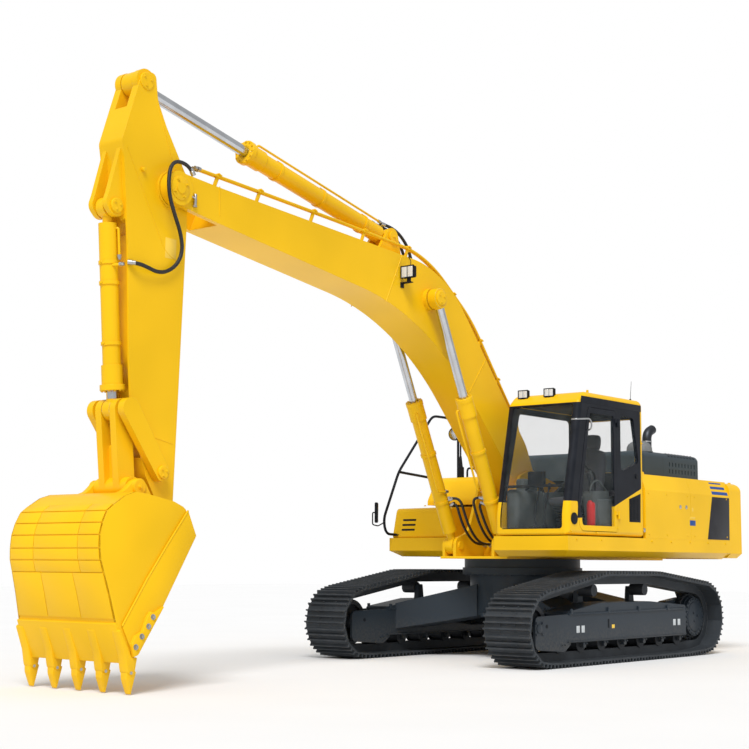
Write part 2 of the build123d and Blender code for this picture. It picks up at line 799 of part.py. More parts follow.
with BuildPart() as door_panel:
    window(side_view, door_shape, door_inner_y, door_outer_y, Mode.ADD)
    window(side_view, glass_shape, door_inner_y - 5, door_outer_y + 5)
    add(lower_region.part, mode=Mode.INTERSECT)
    add(hinge(hinge_low_z + hinge_length + seat_gap, hinge_x + 60, door_outer_y, True))
finish(door_panel.part, "door_panel")

with BuildPart() as door_glass:
    window(side_view, inset_table(door_table, door_gap + door_stile + glass_seat),
           door_outer_y - 22, door_outer_y - 22 + glass_thickness, Mode.ADD)
finish(door_glass.part, "door_glass")

with BuildPart() as cab_glass:
    window(side_view, inset_table(rear_window_table, glass_seat), cab_outer_y - 26,
           cab_outer_y - 26 + glass_thickness, Mode.ADD)
    window(side_view, inset_table(right_window_table, glass_seat), cab_inner_y + 20,
           cab_inner_y + 20 + glass_thickness, Mode.ADD)
    with BuildSketch(Plane.YZ.offset(cab_rear_x + 20)):
        with Locations(((cab_inner_y + cab_outer_y) / 2, 2580)):
            RectangleRounded(cab_outer_y - cab_inner_y - 2.6 * pillar - 2 * glass_seat,
                             640 - 2 * glass_seat, 60)
    extrude(amount=glass_thickness)
finish(cab_glass.part, "cab_glass")

floor_in = cab_floor_z + cab_wall + seat_gap
seat_y = (cab_inner_y + cab_outer_y) / 2
with BuildPart() as seat:
    seat_stand = [(130, floor_in, 0), (520, floor_in, 0), (490, floor_in + 300, 20),
                  (160, floor_in + 300, 20)]
    slab(side_view, seat_stand, seat_y - 200, seat_y + 200)
    cushion = [(80, floor_in + 299, 30), (600, floor_in + 299, 40), (610, floor_in + 430, 60),
               (70, floor_in + 400, 40)]
    slab(side_view, cushion, seat_y - 255, seat_y + 255)
    back = [(60, floor_in + 390, 30), (210, floor_in + 395, 30), (110, floor_in + 1010, 50),
            (-25, floor_in + 990, 50)]
    slab(side_view, back, seat_y - 235, seat_y + 235)
    head = [(-10, floor_in + 960, 10), (80, floor_in + 970, 10), (60, floor_in + 1200, 45),
            (-45, floor_in + 1185, 45)]
    slab(side_view, head, seat_y - 140, seat_y + 140)
finish(seat.part, "seat")

with BuildPart() as consoles:
    for y_low, y_high in pair(270, 400):
        body = [(120, floor_in, 10), (560, floor_in, 10), (640, floor_in + 470, 50),
                (150, floor_in + 500, 50)]
        slab(side_view, body, seat_y + y_low, seat_y + y_high)
        lever_y = seat_y + (y_low + y_high) / 2
        disc(Plane.XY.offset(floor_in + 440), (560, lever_y), 14, -280, 0)
finish(consoles.part, "consoles")

# ---------------------------------------------------------------- boom
tip_ear_inner = 188.0
tip_boss_radius = 165.0
fork_depth = 640.0
boom_outline = [
    (-150, -130, 150),
    (-150, 190, 180),
    (150, 455, 500),
    (2488, 1575, 1500),
    (boom_length - 480, 340, 60),
    (boom_length + 60, tip_boss_radius - 2, 120),
    (boom_length + 150, 0, 120),
    (boom_length + 40, -tip_boss_radius + 4, 120),
    (boom_length - 640, 12, 300),
    (2551, 905, 4300),
    (220, -60, 400),
]
with BuildPart() as boom:
    slab(boom_line, boom_outline, -boom_half_width, boom_half_width)
    # Fork for the arm
    fork = [
        (boom_length - fork_depth, -1000, 0),
        (boom_length - fork_depth, 1000, 0),
        (boom_length + 400, 1000, 0),
        (boom_length + 400, -1000, 0),
    ]
    slab(boom_line, fork, -tip_ear_inner, tip_ear_inner, Mode.SUBTRACT)
    # Bosses of the tip, of the cylinder eyes and of the arm cylinder's foot
    for y_low, y_high in pair(tip_ear_inner, boom_half_width + 42):
        disc(boom_line, (boom_length, 0), tip_boss_radius, y_low, y_high)
    for y_low, y_high in pair(boom_half_width - 10, boom_jack_y - 62 - side_clearance):
        disc(boom_line, boom_jack_eye, 125, y_low, y_high)
    for y_low, y_high in pair(82, 120):
        link(boom_line, arm_jack_foot, 105, (arm_jack_foot[0] - 60, arm_jack_foot[1] - 250), 210,
             y_low, y_high)
    disc(boom_line, (0, 0), 60 + pin_clearance, -400, 400, Mode.SUBTRACT)
    disc(boom_line, (boom_length, 0), 55, -boom_half_width - 60, boom_half_width + 60)
    disc(boom_line, arm_jack_foot, 50, -135, 135)
finish(boom.part, "boom")

# ---------------------------------------------------------------- arm
arm_fork_depth = 330.0
arm_outline = [
    (-1085, 330, 110),
    (-1000, 430, 60),
    (-357, 631, 90),
    (-195, 600, 200),
    (628, 520, 300),
    (1682, 462, 600),
    (2061, 425, 300),
    (2738, 215, 200),
    (2960, 80, 150),
    (3300, 60, 120),
    (3300, -125, 120),
    (2938, -138, 300),
    (387, -212, 500),
    (-143, -212, 230),
    (-600, 85, 300),
    (-830, 205, 300),
    (-1075, 240, 110),
]
with BuildPart() as arm:
    slab(arm_line, arm_outline, -arm_half_width, arm_half_width)
    # Recess of the front cover between the side plates
    recess = [(200, 900, 0), (420, 460, 80), (1682, 405, 300), (1930, 288, 120),
              (2240, 270, 100), (2560, 215, 0), (2740, 900, 0)]
    slab(arm_line, recess, -arm_half_width + 22, arm_half_width - 22, Mode.SUBTRACT)
    # Slot for the arm cylinder's eye
    eye_slot = [(-1400, -200, 0), (-1400, 900, 0), (-790, 900, 0), (-690, 430, 80),
                (-690, 230, 80), (-760, -200, 0)]
    slab(arm_line, eye_slot, -81, 81, Mode.SUBTRACT)
    for y_low, y_high in pair(81, arm_half_width - 12):
        disc(arm_line, arm_jack_eye, 120, y_low, y_high)
    # Ears for the bucket cylinder's foot
    for y_low, y_high in pair(70, 125):
        ear = [(-345, 600, 0), (160, 735, 60), (274, 775, 130), (404, 645, 130), (300, 500, 60),
               (-100, 400, 0)]
        slab(arm_line, ear, y_low, y_high)
    slab(arm_line, [(60, 900, 0), (120, 500, 80), (500, 440, 0), (700, 900, 0)], -64, 64,
         Mode.SUBTRACT)
    disc(arm_line, bucket_jack_foot, 45, -140, 140)
    # Hub at the boom's tip, bosses at the side links and at the bucket
    disc(arm_line, (0, 0), 180, -tip_ear_inner + side_clearance, tip_ear_inner - side_clearance)
    disc(arm_line, (0, 0), 55 + pin_clearance, -400, 400, Mode.SUBTRACT)
    disc(arm_line, (arm_length, 0), 130, -215, 215)
    disc(arm_line, (arm_length, 0), 50 + pin_clearance, -400, 400, Mode.SUBTRACT)
    disc(arm_line, side_link_pin, 45, -262, 262)
finish(arm.part, "arm")

# ---------------------------------------------------------------- bucket and its links
bucket_wall = 28.0
hinge_ear = (222.0, 290.0)
bucket_outline = [
    (-70, 185, 30),
    (110, -60, 40),
    (1370, 120, 0),
    (1440, 130, 0),
    (1205, 410, 0),
    (835, 780, 300),
    (600, 985, 240),
    (330, 1010, 200),
    (94, 745, 150),
    (-65, 300, 60),
]
mouth_outline = [
    (-55, 150, 0),
    (-250, -300, 0),
    (1500, -300, 0),
    (1380, 106, 0),
    (1180, 380, 30),
    (600, 500, 0),
]
bucket_half_width = 650.0
bucket_taper = 4.0
ear_place = moved(boom_tip, bucket_ear_pin, arm_lean)
ear_pin_radius = 48.0


def bucket_side(side, inset):
    """The leaning plane of a side of the bucket; the bucket widens from its back to its lip."""
    a = radians(bucket_taper)
    widening = (bucket_line.x_dir - bucket_line.y_dir) * sqrt(0.5)
    across = Vector(0, side, 0)
    middle = bucket_line.from_local_coords(Vector(700, 200, 0))
    return Plane(origin=middle + across * (bucket_half_width - inset),
                 z_dir=across * cos(a) - widening * sin(a))


def bucket_body(inset):
    """The bucket's outer shape, or what fits inside its walls."""
    widest = bucket_half_width + 150
    with BuildPart(mode=Mode.PRIVATE) as body:
        with BuildSketch(bucket_line.offset(-widest)) as outline:
            with BuildLine():
                rounded(bucket_outline)
            make_face()
            if inset:
                offset(amount=-inset)
            if inset > 0:
                Polygon(*[(a, b) for a, b, r in mouth_outline], align=None)
        extrude(outline.sketch, amount=2 * widest)
        for side in (1, -1):
            split(bisect_by=bucket_side(side, inset), keep=Keep.BOTTOM)
    return body.part


with BuildPart() as bucket:
    add(bucket_body(0))
    add(bucket_body(bucket_wall), mode=Mode.SUBTRACT)
    # Ears for the arm and the link
    for y_low, y_high in pair(*hinge_ear):
        ear = [(-130, -60, 130), (130, -110, 100), (330, 400, 0), (120, 790, 0), (60, 700, 60),
               (-40, 610, 90), (-170, 590, 90), (-190, 440, 90), (-60, 250, 100)]
        slab(bucket_line, ear, y_low, y_high)
    disc(bucket_line, (0, 0), 50, -hinge_ear[1] - 20, hinge_ear[1] + 20)
    disc(side_view, ear_place, ear_pin_radius + pin_clearance, -400, 400, Mode.SUBTRACT)
finish(bucket.part, "bucket")

tooth_count = 5
tooth_spread = 1300.0
with BuildPart() as bucket_teeth:
    for i in range(tooth_count):
        y = -tooth_spread / 2 + i * tooth_spread / (tooth_count - 1)
        tooth = [(1385, 95, 0), (bucket_reach, 0, 0), (bucket_reach - 12, 28, 0), (1400, 235, 20),
                 (1215, 470, 20), (1190, 400, 0), (1380, 140, 0)]
        slab(bucket_line, tooth, y - 45, y + 45)
    add(bucket_body(-seat_gap), mode=Mode.SUBTRACT)
finish(bucket_teeth.part, "bucket_teeth")

side_link_y = (174.0, 252.0)
with BuildPart() as side_links:
    for y_low, y_high in pair(*side_link_y):
        link(arm_line, side_link_pin, 85, link_pin, 100, y_low, y_high)
    disc(arm_line, side_link_pin, 45 + pin_clearance, -400, 400, Mode.SUBTRACT)
finish(side_links.part, "side_links")

h_bar_y = (58.0, 136.0)
with BuildPart() as h_link:
    for y_low, y_high in pair(*h_bar_y):
        link(arm_line, link_pin, 100, bucket_ear_pin, 95, y_low, y_high)
    disc(arm_line, bucket_ear_pin, 95, -hinge_ear[0] + side_clearance,
         hinge_ear[0] - side_clearance)
    web = [(2460, 400, 30), (2460, 470, 30), (2852, 440, 0), (2852, 370, 0)]
    slab(arm_line, web, -70, 70)
    disc(arm_line, bucket_ear_pin, ear_pin_radius, -hinge_ear[1] - 15, hinge_ear[1] + 15)
finish(h_link.part, "h_link")


# ---------------------------------------------------------------- cylinders
def jack_line(foot, eye):
    """The side view plane at a cylinder's foot, its first axis towards the rod's eye."""
    return line_plane(foot, degrees(atan2(eye[1] - foot[1], eye[0] - foot[0])))


def shaft(base, x_low, x_high, radius, mode=Mode.ADD):
    """Add a round bar along a cylinder's own line."""
    profile_plane = Plane(origin=base.from_local_coords((x_low, 0, 0)), z_dir=base.x_dir)
    with BuildSketch(profile_plane) as outline:
        Circle(radius)
    extrude(outline.sketch, amount=x_high - x_low, mode=mode)


boom_eye_place = moved(boom_foot, boom_jack_eye, boom_rise)
arm_foot_place = moved(boom_foot, arm_jack_foot, boom_rise)
arm_eye_place = moved(boom_tip, arm_jack_eye, arm_lean)
bucket_foot_place = moved(boom_tip, bucket_jack_foot, arm_lean)
link_place = moved(boom_tip, link_pin, arm_lean)
# cylinders: (name, foot, eye, closed length, barrel radius, rod radius, foot eye radius,
# rod eye radius, half width of the eyes, pin radius, neck length, places across the machine)
cylinders = (
    ("boom_cylinder", boom_jack_foot, boom_eye_place, boom_jack_closed, 86, 50, 105, 112, 55, 50, 185,
     (boom_jack_y, -boom_jack_y)),
    ("arm_cylinder", arm_foot_place, arm_eye_place, arm_jack_closed, 97, 57, 100, 112, 74, 50, 140,
     (0,)),
    ("bucket_cylinder", bucket_foot_place, link_place, bucket_jack_closed, 85, 50, 95, 96, 50, 45, 150,
     (0,)),
)
for name, foot, eye, closed, barrel, rod, foot_eye, rod_eye, half, pin, neck, ys in cylinders:
    reach = hypot(eye[0] - foot[0], eye[1] - foot[1])
    gland_end = closed - rod_eye - 18
    with BuildPart() as barrels:
        for y in ys:
            base = jack_line(foot, eye).offset(-y)
            disc(base, (0, 0), foot_eye, -half, half)
            shaft(base, foot_eye / 2, neck, half - 4)
            shaft(base, neck, gland_end - 60, barrel)
            shaft(base, gland_end - 230, gland_end, barrel + 14)
            shaft(base, neck + 30, gland_end + 5, rod + rod_clearance, Mode.SUBTRACT)
            disc(base, (0, 0), pin + pin_clearance, -half - 1, half + 1, Mode.SUBTRACT)
    finish(barrels.part, name + "_barrel")
    with BuildPart() as rods:
        for y in ys:
            base = jack_line(foot, eye).offset(-y)
            shaft(base, reach - closed + neck + 40, reach - rod_eye / 2, rod)
            disc(base, (reach, 0), rod_eye, -half, half)
    finish(rods.part, name + "_rod")
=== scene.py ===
"""Crawler excavator, parked with its bucket on its teeth: finishes, fittings, hoses and studio.

Every length is in metres, in the frame of the solids: origin on the ground under the slewing
axis, +X forward, +Y to the cab's side, +Z up.
"""

import json
import logging
import math
from dataclasses import dataclass
from enum import Enum, IntEnum
from typing import Any, Callable, Iterable, Sequence

import bmesh
import bpy
from mathutils import Matrix, Vector


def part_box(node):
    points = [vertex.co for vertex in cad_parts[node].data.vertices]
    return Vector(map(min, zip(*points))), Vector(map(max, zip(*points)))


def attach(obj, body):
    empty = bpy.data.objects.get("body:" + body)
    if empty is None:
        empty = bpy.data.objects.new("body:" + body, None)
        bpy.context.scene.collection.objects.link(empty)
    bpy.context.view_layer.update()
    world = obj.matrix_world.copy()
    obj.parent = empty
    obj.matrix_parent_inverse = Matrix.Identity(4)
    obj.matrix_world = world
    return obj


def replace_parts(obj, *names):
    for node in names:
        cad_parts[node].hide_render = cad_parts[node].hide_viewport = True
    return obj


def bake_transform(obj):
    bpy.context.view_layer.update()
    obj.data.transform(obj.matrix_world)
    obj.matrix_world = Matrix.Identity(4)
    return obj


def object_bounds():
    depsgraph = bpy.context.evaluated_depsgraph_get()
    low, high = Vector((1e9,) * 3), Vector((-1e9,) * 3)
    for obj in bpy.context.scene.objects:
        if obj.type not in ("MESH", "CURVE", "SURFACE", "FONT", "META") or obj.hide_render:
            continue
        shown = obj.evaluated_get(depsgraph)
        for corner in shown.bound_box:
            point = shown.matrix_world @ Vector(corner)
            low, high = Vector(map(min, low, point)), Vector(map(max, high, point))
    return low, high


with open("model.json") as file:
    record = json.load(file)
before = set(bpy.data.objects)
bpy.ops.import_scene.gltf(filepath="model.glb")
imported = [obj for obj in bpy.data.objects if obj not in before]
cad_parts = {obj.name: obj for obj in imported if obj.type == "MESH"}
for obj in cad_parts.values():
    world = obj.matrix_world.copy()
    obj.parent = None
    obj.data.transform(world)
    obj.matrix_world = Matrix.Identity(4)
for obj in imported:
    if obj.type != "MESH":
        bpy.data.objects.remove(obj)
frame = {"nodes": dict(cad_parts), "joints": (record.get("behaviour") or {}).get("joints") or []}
cad_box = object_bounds()

log = logging.getLogger("excavator")
Point = Sequence[float]
Colour = tuple[float, float, float]


# ---------------------------------------------------------------- shader maths
class Value:
    """A number that varies over a surface; its operators add Math nodes."""

    def __init__(self, mix: "Mix", socket: bpy.types.NodeSocket) -> None:
        """Keep the mix that the socket belongs to."""
        self.mix = mix
        self.socket = socket

    def _maths(self, operation: str, *inputs: Any) -> "Value":
        """Add one Math node over the inputs."""
        return self.mix.node("ShaderNodeMath", {"operation": operation},
                             {i: v for i, v in enumerate(inputs)})[0]

    def __add__(self, other: Any) -> "Value":
        """Return the sum."""
        return self._maths("ADD", self, other)

    def __radd__(self, other: Any) -> "Value":
        """Return the sum."""
        return self._maths("ADD", other, self)

    def __sub__(self, other: Any) -> "Value":
        """Return the difference."""
        return self._maths("SUBTRACT", self, other)

    def __rsub__(self, other: Any) -> "Value":
        """Return the difference the other way round."""
        return self._maths("SUBTRACT", other, self)

    def __mul__(self, other: Any) -> "Value":
        """Return the product."""
        return self._maths("MULTIPLY", self, other)

    def __rmul__(self, other: Any) -> "Value":
        """Return the product."""
        return self._maths("MULTIPLY", other, self)

    def __abs__(self) -> "Value":
        """Return the size without its sign."""
        return self._maths("ABSOLUTE", self)

    def most(self, other: Any) -> "Value":
        """Return the larger of the two."""
        return self._maths("MAXIMUM", self, other)

    def rise(self, low: float, high: float) -> "Value":
        """Return 0 below low, 1 above high, and an even slope between."""
        return self.mix.node("ShaderNodeMapRange", {"clamp": True},
                             {"Value": self, "From Min": low, "From Max": high})[0]

    def band(self, centre: float, half: float, soft: float) -> "Value":
        """Return 1 within half of centre, fading to 0 over soft."""
        return 1 - abs(self - centre).rise(half, half + soft)


class Mix:
    """One material in the making, with a short way to add its nodes."""

    def __init__(self, name: str) -> None:
        """Start the material with a Principled shader at its output.

        Args:
            name: the material's name.
        """
        self.material = bpy.data.materials.new(name)
        self.material.use_nodes = True
        self.tree = self.material.node_tree
        self.tree.nodes.clear()
        self.shader = self.tree.nodes.new("ShaderNodeBsdfPrincipled")
        self.out = self.tree.nodes.new("ShaderNodeOutputMaterial")
        self.tree.links.new(self.shader.outputs[0], self.out.inputs["Surface"])

    def node(self, kind: str, settings: dict[str, Any], inputs: dict[Any, Any]) -> list[Value]:
        """Add a node: its settings first, then its sockets.

        Args:
            kind: the node's type name.
            settings: properties; a ramp's stops come as (place, colour) pairs.
            inputs: socket name or number to a number, colour or Value.

        Returns:
            The node's outputs as Values.
        """
        made = self.tree.nodes.new(kind)
        for key, value in settings.items():
            if key == "stops":
                stops = made.color_ramp.elements
                while len(stops) > 1:
                    stops.remove(stops[-1])
                for i, (place, colour) in enumerate(value):
                    stop = stops[0] if i == 0 else stops.new(place)
                    stop.position, stop.color = place, (*colour, 1.0)
            else:
                setattr(made, key, value)
        for key, value in inputs.items():
            self.feed(made.inputs[key], value)
        return [Value(self, socket) for socket in made.outputs]

    def feed(self, socket: bpy.types.NodeSocket, value: Any) -> None:
        """Set a socket to a number or colour, or link a Value to it."""
        if isinstance(value, Value):
            self.tree.links.new(value.socket, socket)
        elif isinstance(value, (tuple, list)) and socket.type == "RGBA":
            socket.default_value = (*value[:3], 1.0)
        else:
            socket.default_value = value

    def set(self, **inputs: Any) -> None:
        """Feed the Principled shader; underscores in the names stand for spaces."""
        for key, value in inputs.items():
            self.feed(self.shader.inputs[key.replace("_", " ")], value)

    def place(self, stretch: Point = (1, 1, 1)) -> Value:
        """Return the surface's own coordinates, stretched along its axes."""
        found = self.node("ShaderNodeTexCoord", {}, {})[3]
        if tuple(stretch) == (1, 1, 1):
            return found
        return self.node("ShaderNodeMapping", {}, {"Vector": found, "Scale": stretch})[0]

    def axes(self) -> list[Value]:
        """Return the X, Y and Z of the surface's own coordinates."""
        return self.node("ShaderNodeSeparateXYZ", {}, {"Vector": self.place()})

    def noise(self, scale: float, detail: float = 3.0, rough: float = 0.5,
              stretch: Point = (1, 1, 1)) -> Value:
        """Return a cloudy value from 0 to 1."""
        return self.node("ShaderNodeTexNoise", {},
                         {"Vector": self.place(stretch), "Scale": scale, "Detail": detail,
                          "Roughness": rough})[0]

    def cells(self, scale: float, stretch: Point = (1, 1, 1)) -> Value:
        """Return the distance to the nearest of many scattered points."""
        return self.node("ShaderNodeTexVoronoi", {},
                         {"Vector": self.place(stretch), "Scale": scale})[0]

    def blend(self, share: Any, first: Any, second: Any) -> Value:
        """Mix two colours by a share."""
        made = self.tree.nodes.new("ShaderNodeMix")
        made.data_type = "RGBA"
        self.feed(made.inputs[0], share)
        self.feed(made.inputs[6], first)
        self.feed(made.inputs[7], second)
        return Value(self, made.outputs[2])

    def rounded(self, radius: float) -> Value:
        """Return the normal of the surface with its edges eased."""
        return self.node("ShaderNodeBevel", {"samples": 4}, {"Radius": radius})[0]

    def edges(self, radius: float) -> Value:
        """Return 1 on edges and 0 on flats."""
        eased = self.rounded(radius)
        flat = self.node("ShaderNodeNewGeometry", {}, {})[1]
        alike = self.node("ShaderNodeVectorMath", {"operation": "DOT_PRODUCT"},
                          {0: eased, 1: flat})[1]
        return (1 - alike).rise(0.01, 0.2)

    def bump(self, height: Value, distance: float, strength: float = 1.0,
             normal: Value | None = None) -> Value:
        """Return the normal raised by a height that goes from 0 to 1."""
        inputs: dict[str, Any] = {"Height": height, "Distance": distance, "Strength": strength}
        if normal is not None:
            inputs["Normal"] = normal
        return self.node("ShaderNodeBump", {}, inputs)[0]


# ---------------------------------------------------------------- finishes
@dataclass(frozen=True)
class Groove:
    """A seam drawn on a finish, at a place along an axis, between two places on another."""

    axis: int
    place: float
    half: float = 0.003
    span_axis: int = 2
    low: float = -math.inf
    high: float = math.inf


@dataclass(frozen=True)
class Paint:
    """Machine enamel: even colour with soft blooms, orange peel, dust low down, and worn edges
    painted lighter: edge wear with a painted highlight.
    """

    name: str
    colour: Colour
    slot: str
    rough: float = 0.32
    coat: float = 0.05
    dust: Colour = (0.32, 0.27, 0.2)
    dust_top: float = 0.5
    dust_share: float = 0.1
    # wear: how strongly edges are painted lighter, as edge wear and a painted edge highlight
    wear: float = 0.25
    edge: float = 0.006
    specular: float = 0.16
    grooves: tuple[Groove, ...] = ()

    def material(self) -> bpy.types.Material:
        """Build the enamel."""
        mix = Mix(self.name)
        x, y, z = mix.axes()
        bloom = mix.noise(0.9, 2.0)
        grain = mix.noise(38.0, 4.0)
        darker = tuple(c * 0.9 for c in self.colour)
        lighter = tuple(min(1.0, c * 1.06 + 0.002) for c in self.colour)
        colour = mix.blend(bloom.rise(0.3, 0.7), darker, lighter)
        low = (1 - z.rise(0.0, self.dust_top)) * grain.rise(0.35, 0.7) * self.dust_share
        colour = mix.blend(low, colour, self.dust)
        # edge wear and painted edge highlight: in patches along the edges the paint is made
        # lighter, which paints a highlight there
        worn = mix.edges(self.edge) * self.wear * mix.noise(11.0, 3.0).rise(0.35, 0.6)
        colour = mix.blend(worn, colour, tuple(min(1.0, c * 1.5 + 0.05) for c in self.colour))
        height = mix.noise(260.0, 1.0) * 0.12
        for groove in self.grooves:
            line = (x, y, z)[groove.axis].band(groove.place, groove.half, 0.0015)
            if groove.low > -math.inf:
                span = (x, y, z)[groove.span_axis]
                line = line * span.rise(groove.low, groove.low + 0.002)
                line = line * (1 - span.rise(groove.high, groove.high + 0.002))
            colour = mix.blend(line * 0.8, colour, tuple(c * 0.22 for c in self.colour))
            height = height - line
        mix.set(Base_Color=colour, Roughness=self.rough + grain * 0.1 - 0.03 + low * 0.5,
                Metallic=0.0, Coat_Weight=self.coat, Coat_Roughness=0.12,
                Specular_IOR_Level=self.specular,
                Normal=mix.bump(height, 0.002, 0.6, mix.rounded(self.edge)))
        return mix.material


@dataclass(frozen=True)
class Cast:
    """Dark cast or forged steel under thin paint: rough skin, polished where it runs."""

    name: str
    colour: Colour
    slot: str
    shine: Colour = (0.32, 0.32, 0.32)
    rough: float = 0.55
    worn: float = 0.5
    metallic: float = 0.35

    def material(self) -> bpy.types.Material:
        """Build the steel."""
        mix = Mix(self.name)
        skin = mix.noise(55.0, 5.0, 0.6)
        bloom = mix.noise(3.0, 3.0)
        worn = mix.edges(0.006) * self.worn * mix.noise(9.0, 4.0).rise(0.4, 0.6)
        lighter = tuple(c * 1.35 for c in self.colour)
        colour = mix.blend(bloom.rise(0.35, 0.65), self.colour, lighter)
        colour = mix.blend(worn, colour, self.shine)
        mix.set(Base_Color=colour, Roughness=self.rough + skin * 0.2 - worn * 0.25,
                Metallic=worn * 0.5 + self.metallic,
                Normal=mix.bump(skin, 0.0012, 0.5, mix.rounded(0.005)))
        return mix.material


@dataclass(frozen=True)
class Bright:
    """Plated or machined metal with fine turning marks and a film of oil."""

    name: str
    colour: Colour
    slot: str
    rough: float = 0.12

    def material(self) -> bpy.types.Material:
        """Build the metal."""
        mix = Mix(self.name)
        film = mix.noise(6.0, 4.0)
        fine = mix.noise(420.0, 2.0)
        tint = tuple(c * 0.82 for c in self.colour)
        mix.set(Base_Color=mix.blend(film.rise(0.35, 0.7), self.colour, tint), Metallic=1.0,
                Roughness=self.rough + film * 0.1 + fine * 0.05,
                Normal=mix.bump(fine, 0.0003, 0.3))
        return mix.material


@dataclass(frozen=True)
class Moulded:
    """Moulded plastic or rubber with a fine pebbled grain."""

    name: str
    colour: Colour
    slot: str
    rough: float = 0.5
    grain: float = 600.0
    depth: float = 0.0004
    specular: float = 0.15

    def material(self) -> bpy.types.Material:
        """Build the moulding."""
        mix = Mix(self.name)
        pebble = mix.cells(self.grain)
        cloud = mix.noise(7.0, 3.0)
        lighter = tuple(c * 1.5 + 0.004 for c in self.colour)
        mix.set(Base_Color=mix.blend(cloud.rise(0.35, 0.7) * 0.7, self.colour, lighter),
                Roughness=self.rough + cloud * 0.14, Specular_IOR_Level=self.specular,
                Normal=mix.bump(pebble, self.depth, 0.6))
        return mix.material


@dataclass(frozen=True)
class Hose:
    """Wrapped hydraulic hose: fine cloth ridges pressed into black rubber."""

    name: str
    slot: str = "charcoal"
    colour: Colour = (0.012, 0.012, 0.014)
    dust: Colour = (0.05, 0.048, 0.045)

    def material(self) -> bpy.types.Material:
        """Build the rubber; its ridges follow the hose by its UV map."""
        mix = Mix(self.name)
        run = mix.node("ShaderNodeUVMap", {"uv_map": "run"}, {})[0]
        wave = mix.node("ShaderNodeTexWave", {"bands_direction": "DIAGONAL"},
                        {"Vector": run, "Scale": 160.0, "Distortion": 0.4})[1]
        dust = mix.noise(14.0, 4.0)
        mix.set(Base_Color=mix.blend(dust.rise(0.45, 0.8) * 0.5, self.colour, self.dust),
                Roughness=0.42 + dust * 0.2, Normal=mix.bump(wave, 0.0006, 0.5))
        return mix.material


@dataclass(frozen=True)
class Glass:
    """Safety glass with a faint tint and a trace of dust."""

    name: str
    slot: str = "glass"
    tint: Colour = (0.10, 0.13, 0.14)
    clear: float = 0.93

    def material(self) -> bpy.types.Material:
        """Build the glass from a thin reflecting sheet and a see-through one."""
        mix = Mix(self.name)
        haze = mix.noise(5.0, 4.0).rise(0.45, 0.9)
        mix.set(Base_Color=mix.blend(haze, self.tint, (0.3, 0.33, 0.33)), Metallic=0.0,
                Roughness=0.04 + haze * 0.12, Specular_IOR_Level=0.6,
                Alpha=(1 - self.clear) + haze * 0.02)
        return mix.material


@dataclass(frozen=True)
class Fabric:
    """Woven seat cloth on crossing yarns, with a soft sheen."""

    name: str
    slot: str = "seat_fabric"
    colour: Colour = (0.045, 0.047, 0.055)
    yarns: float = 190.0

    def material(self) -> bpy.types.Material:
        """Build the cloth."""
        mix = Mix(self.name)
        warp, weft = (mix.node("ShaderNodeTexWave", {"bands_direction": way},
                               {"Vector": mix.place(), "Scale": self.yarns})[1] for way in "YX")
        weave = warp.most(weft)
        fade = mix.noise(9.0, 3.0)
        lighter = tuple(c * 2.1 for c in self.colour)
        mix.set(Base_Color=mix.blend(weave * fade, self.colour, lighter), Roughness=0.86,
                Normal=mix.bump(weave, 0.0008, 0.7))
        return mix.material


@dataclass(frozen=True)
class Lens:
    """A lamp's glass: fluted, bright behind, in upright ribs."""

    name: str
    colour: Colour = (0.75, 0.78, 0.8)
    glow: float = 0.25

    def material(self) -> bpy.types.Material:
        """Build the lens."""
        mix = Mix(self.name)
        flute = mix.node("ShaderNodeTexWave", {"bands_direction": "Y"},
                         {"Vector": mix.place(), "Scale": 60.0})[1]
        spot = mix.noise(20.0, 2.0)
        mix.set(Base_Color=mix.blend(flute * 0.5, self.colour, (0.35, 0.38, 0.4)), Metallic=0.3,
                Roughness=0.08 + spot * 0.08, Coat_Weight=0.8, Emission_Color=self.colour,
                Emission_Strength=self.glow, Normal=mix.bump(flute, 0.002, 0.6))
        return mix.material


class Finishes:
    """The machine's finishes, each built once."""

    def __init__(self) -> None:
        """Start with none built."""
        self.made: dict[str, bpy.types.Material] = {}

    def get(self, finish: Any) -> bpy.types.Material:
        """Return the finish's material, building it the first time."""
        if finish.name not in self.made:
            self.made[finish.name] = finish.material()
        return self.made[finish.name]


FINISHES = Finishes()
ENAMEL = (0.93, 0.545, 0.006)
SLATE = (0.026, 0.036, 0.048)
YELLOW = Paint("yellow_enamel", ENAMEL, "yellow")
BUCKET_YELLOW = Paint("bucket_enamel", ENAMEL, "yellow", rough=0.42, coat=0.04, wear=0.2)
DARK = Paint("undercarriage_paint", SLATE, "dark_frame", rough=0.42, coat=0.1, dust_share=0.25)
HOOD = Paint("hood_paint", (0.040, 0.058, 0.072), "hood_grey", rough=0.42, coat=0.1,
             grooves=(Groove(0, -1.845),))
TRACK = Cast("track_steel", (0.034, 0.04, 0.047), "track_steel")
IRON = Cast("roller_steel", (0.03, 0.034, 0.04), "track_steel")
ENGINE = Cast("engine_iron", (0.13, 0.135, 0.14), "engine_grey")
CHROME = Bright("rod_chrome", (0.62, 0.64, 0.67), "chrome_rod")
FITTING = Bright("fitting_zinc", (0.55, 0.56, 0.57), "chrome_rod", rough=0.28)
EXHAUST = Bright("exhaust_steel", (0.06, 0.065, 0.075), "exhaust_steel", rough=0.4)
BLACK = Moulded("black_moulding", (0.008, 0.009, 0.012), "charcoal")
CAB_DARK = Moulded("pillar_coating", (0.009, 0.011, 0.016), "charcoal", rough=0.42, grain=900.0,
                   depth=0.0002)
CONSOLE = Moulded("console_plastic", (0.075, 0.085, 0.085), "console_plastic")
SEAL = Moulded("seal_rubber", (0.01, 0.01, 0.011), "charcoal", rough=0.6)
GLASS = Glass("cab_glass")
CLOTH = Fabric("seat_cloth")
LENS = Lens("lamp_lens")
MIRROR = Bright("mirror_glass", (0.75, 0.77, 0.79), "chrome_rod", rough=0.05)
WIRE = Moulded("intake_wire", (0.16, 0.17, 0.175), "hood_grey", rough=0.45, grain=75.0,
               depth=0.006)
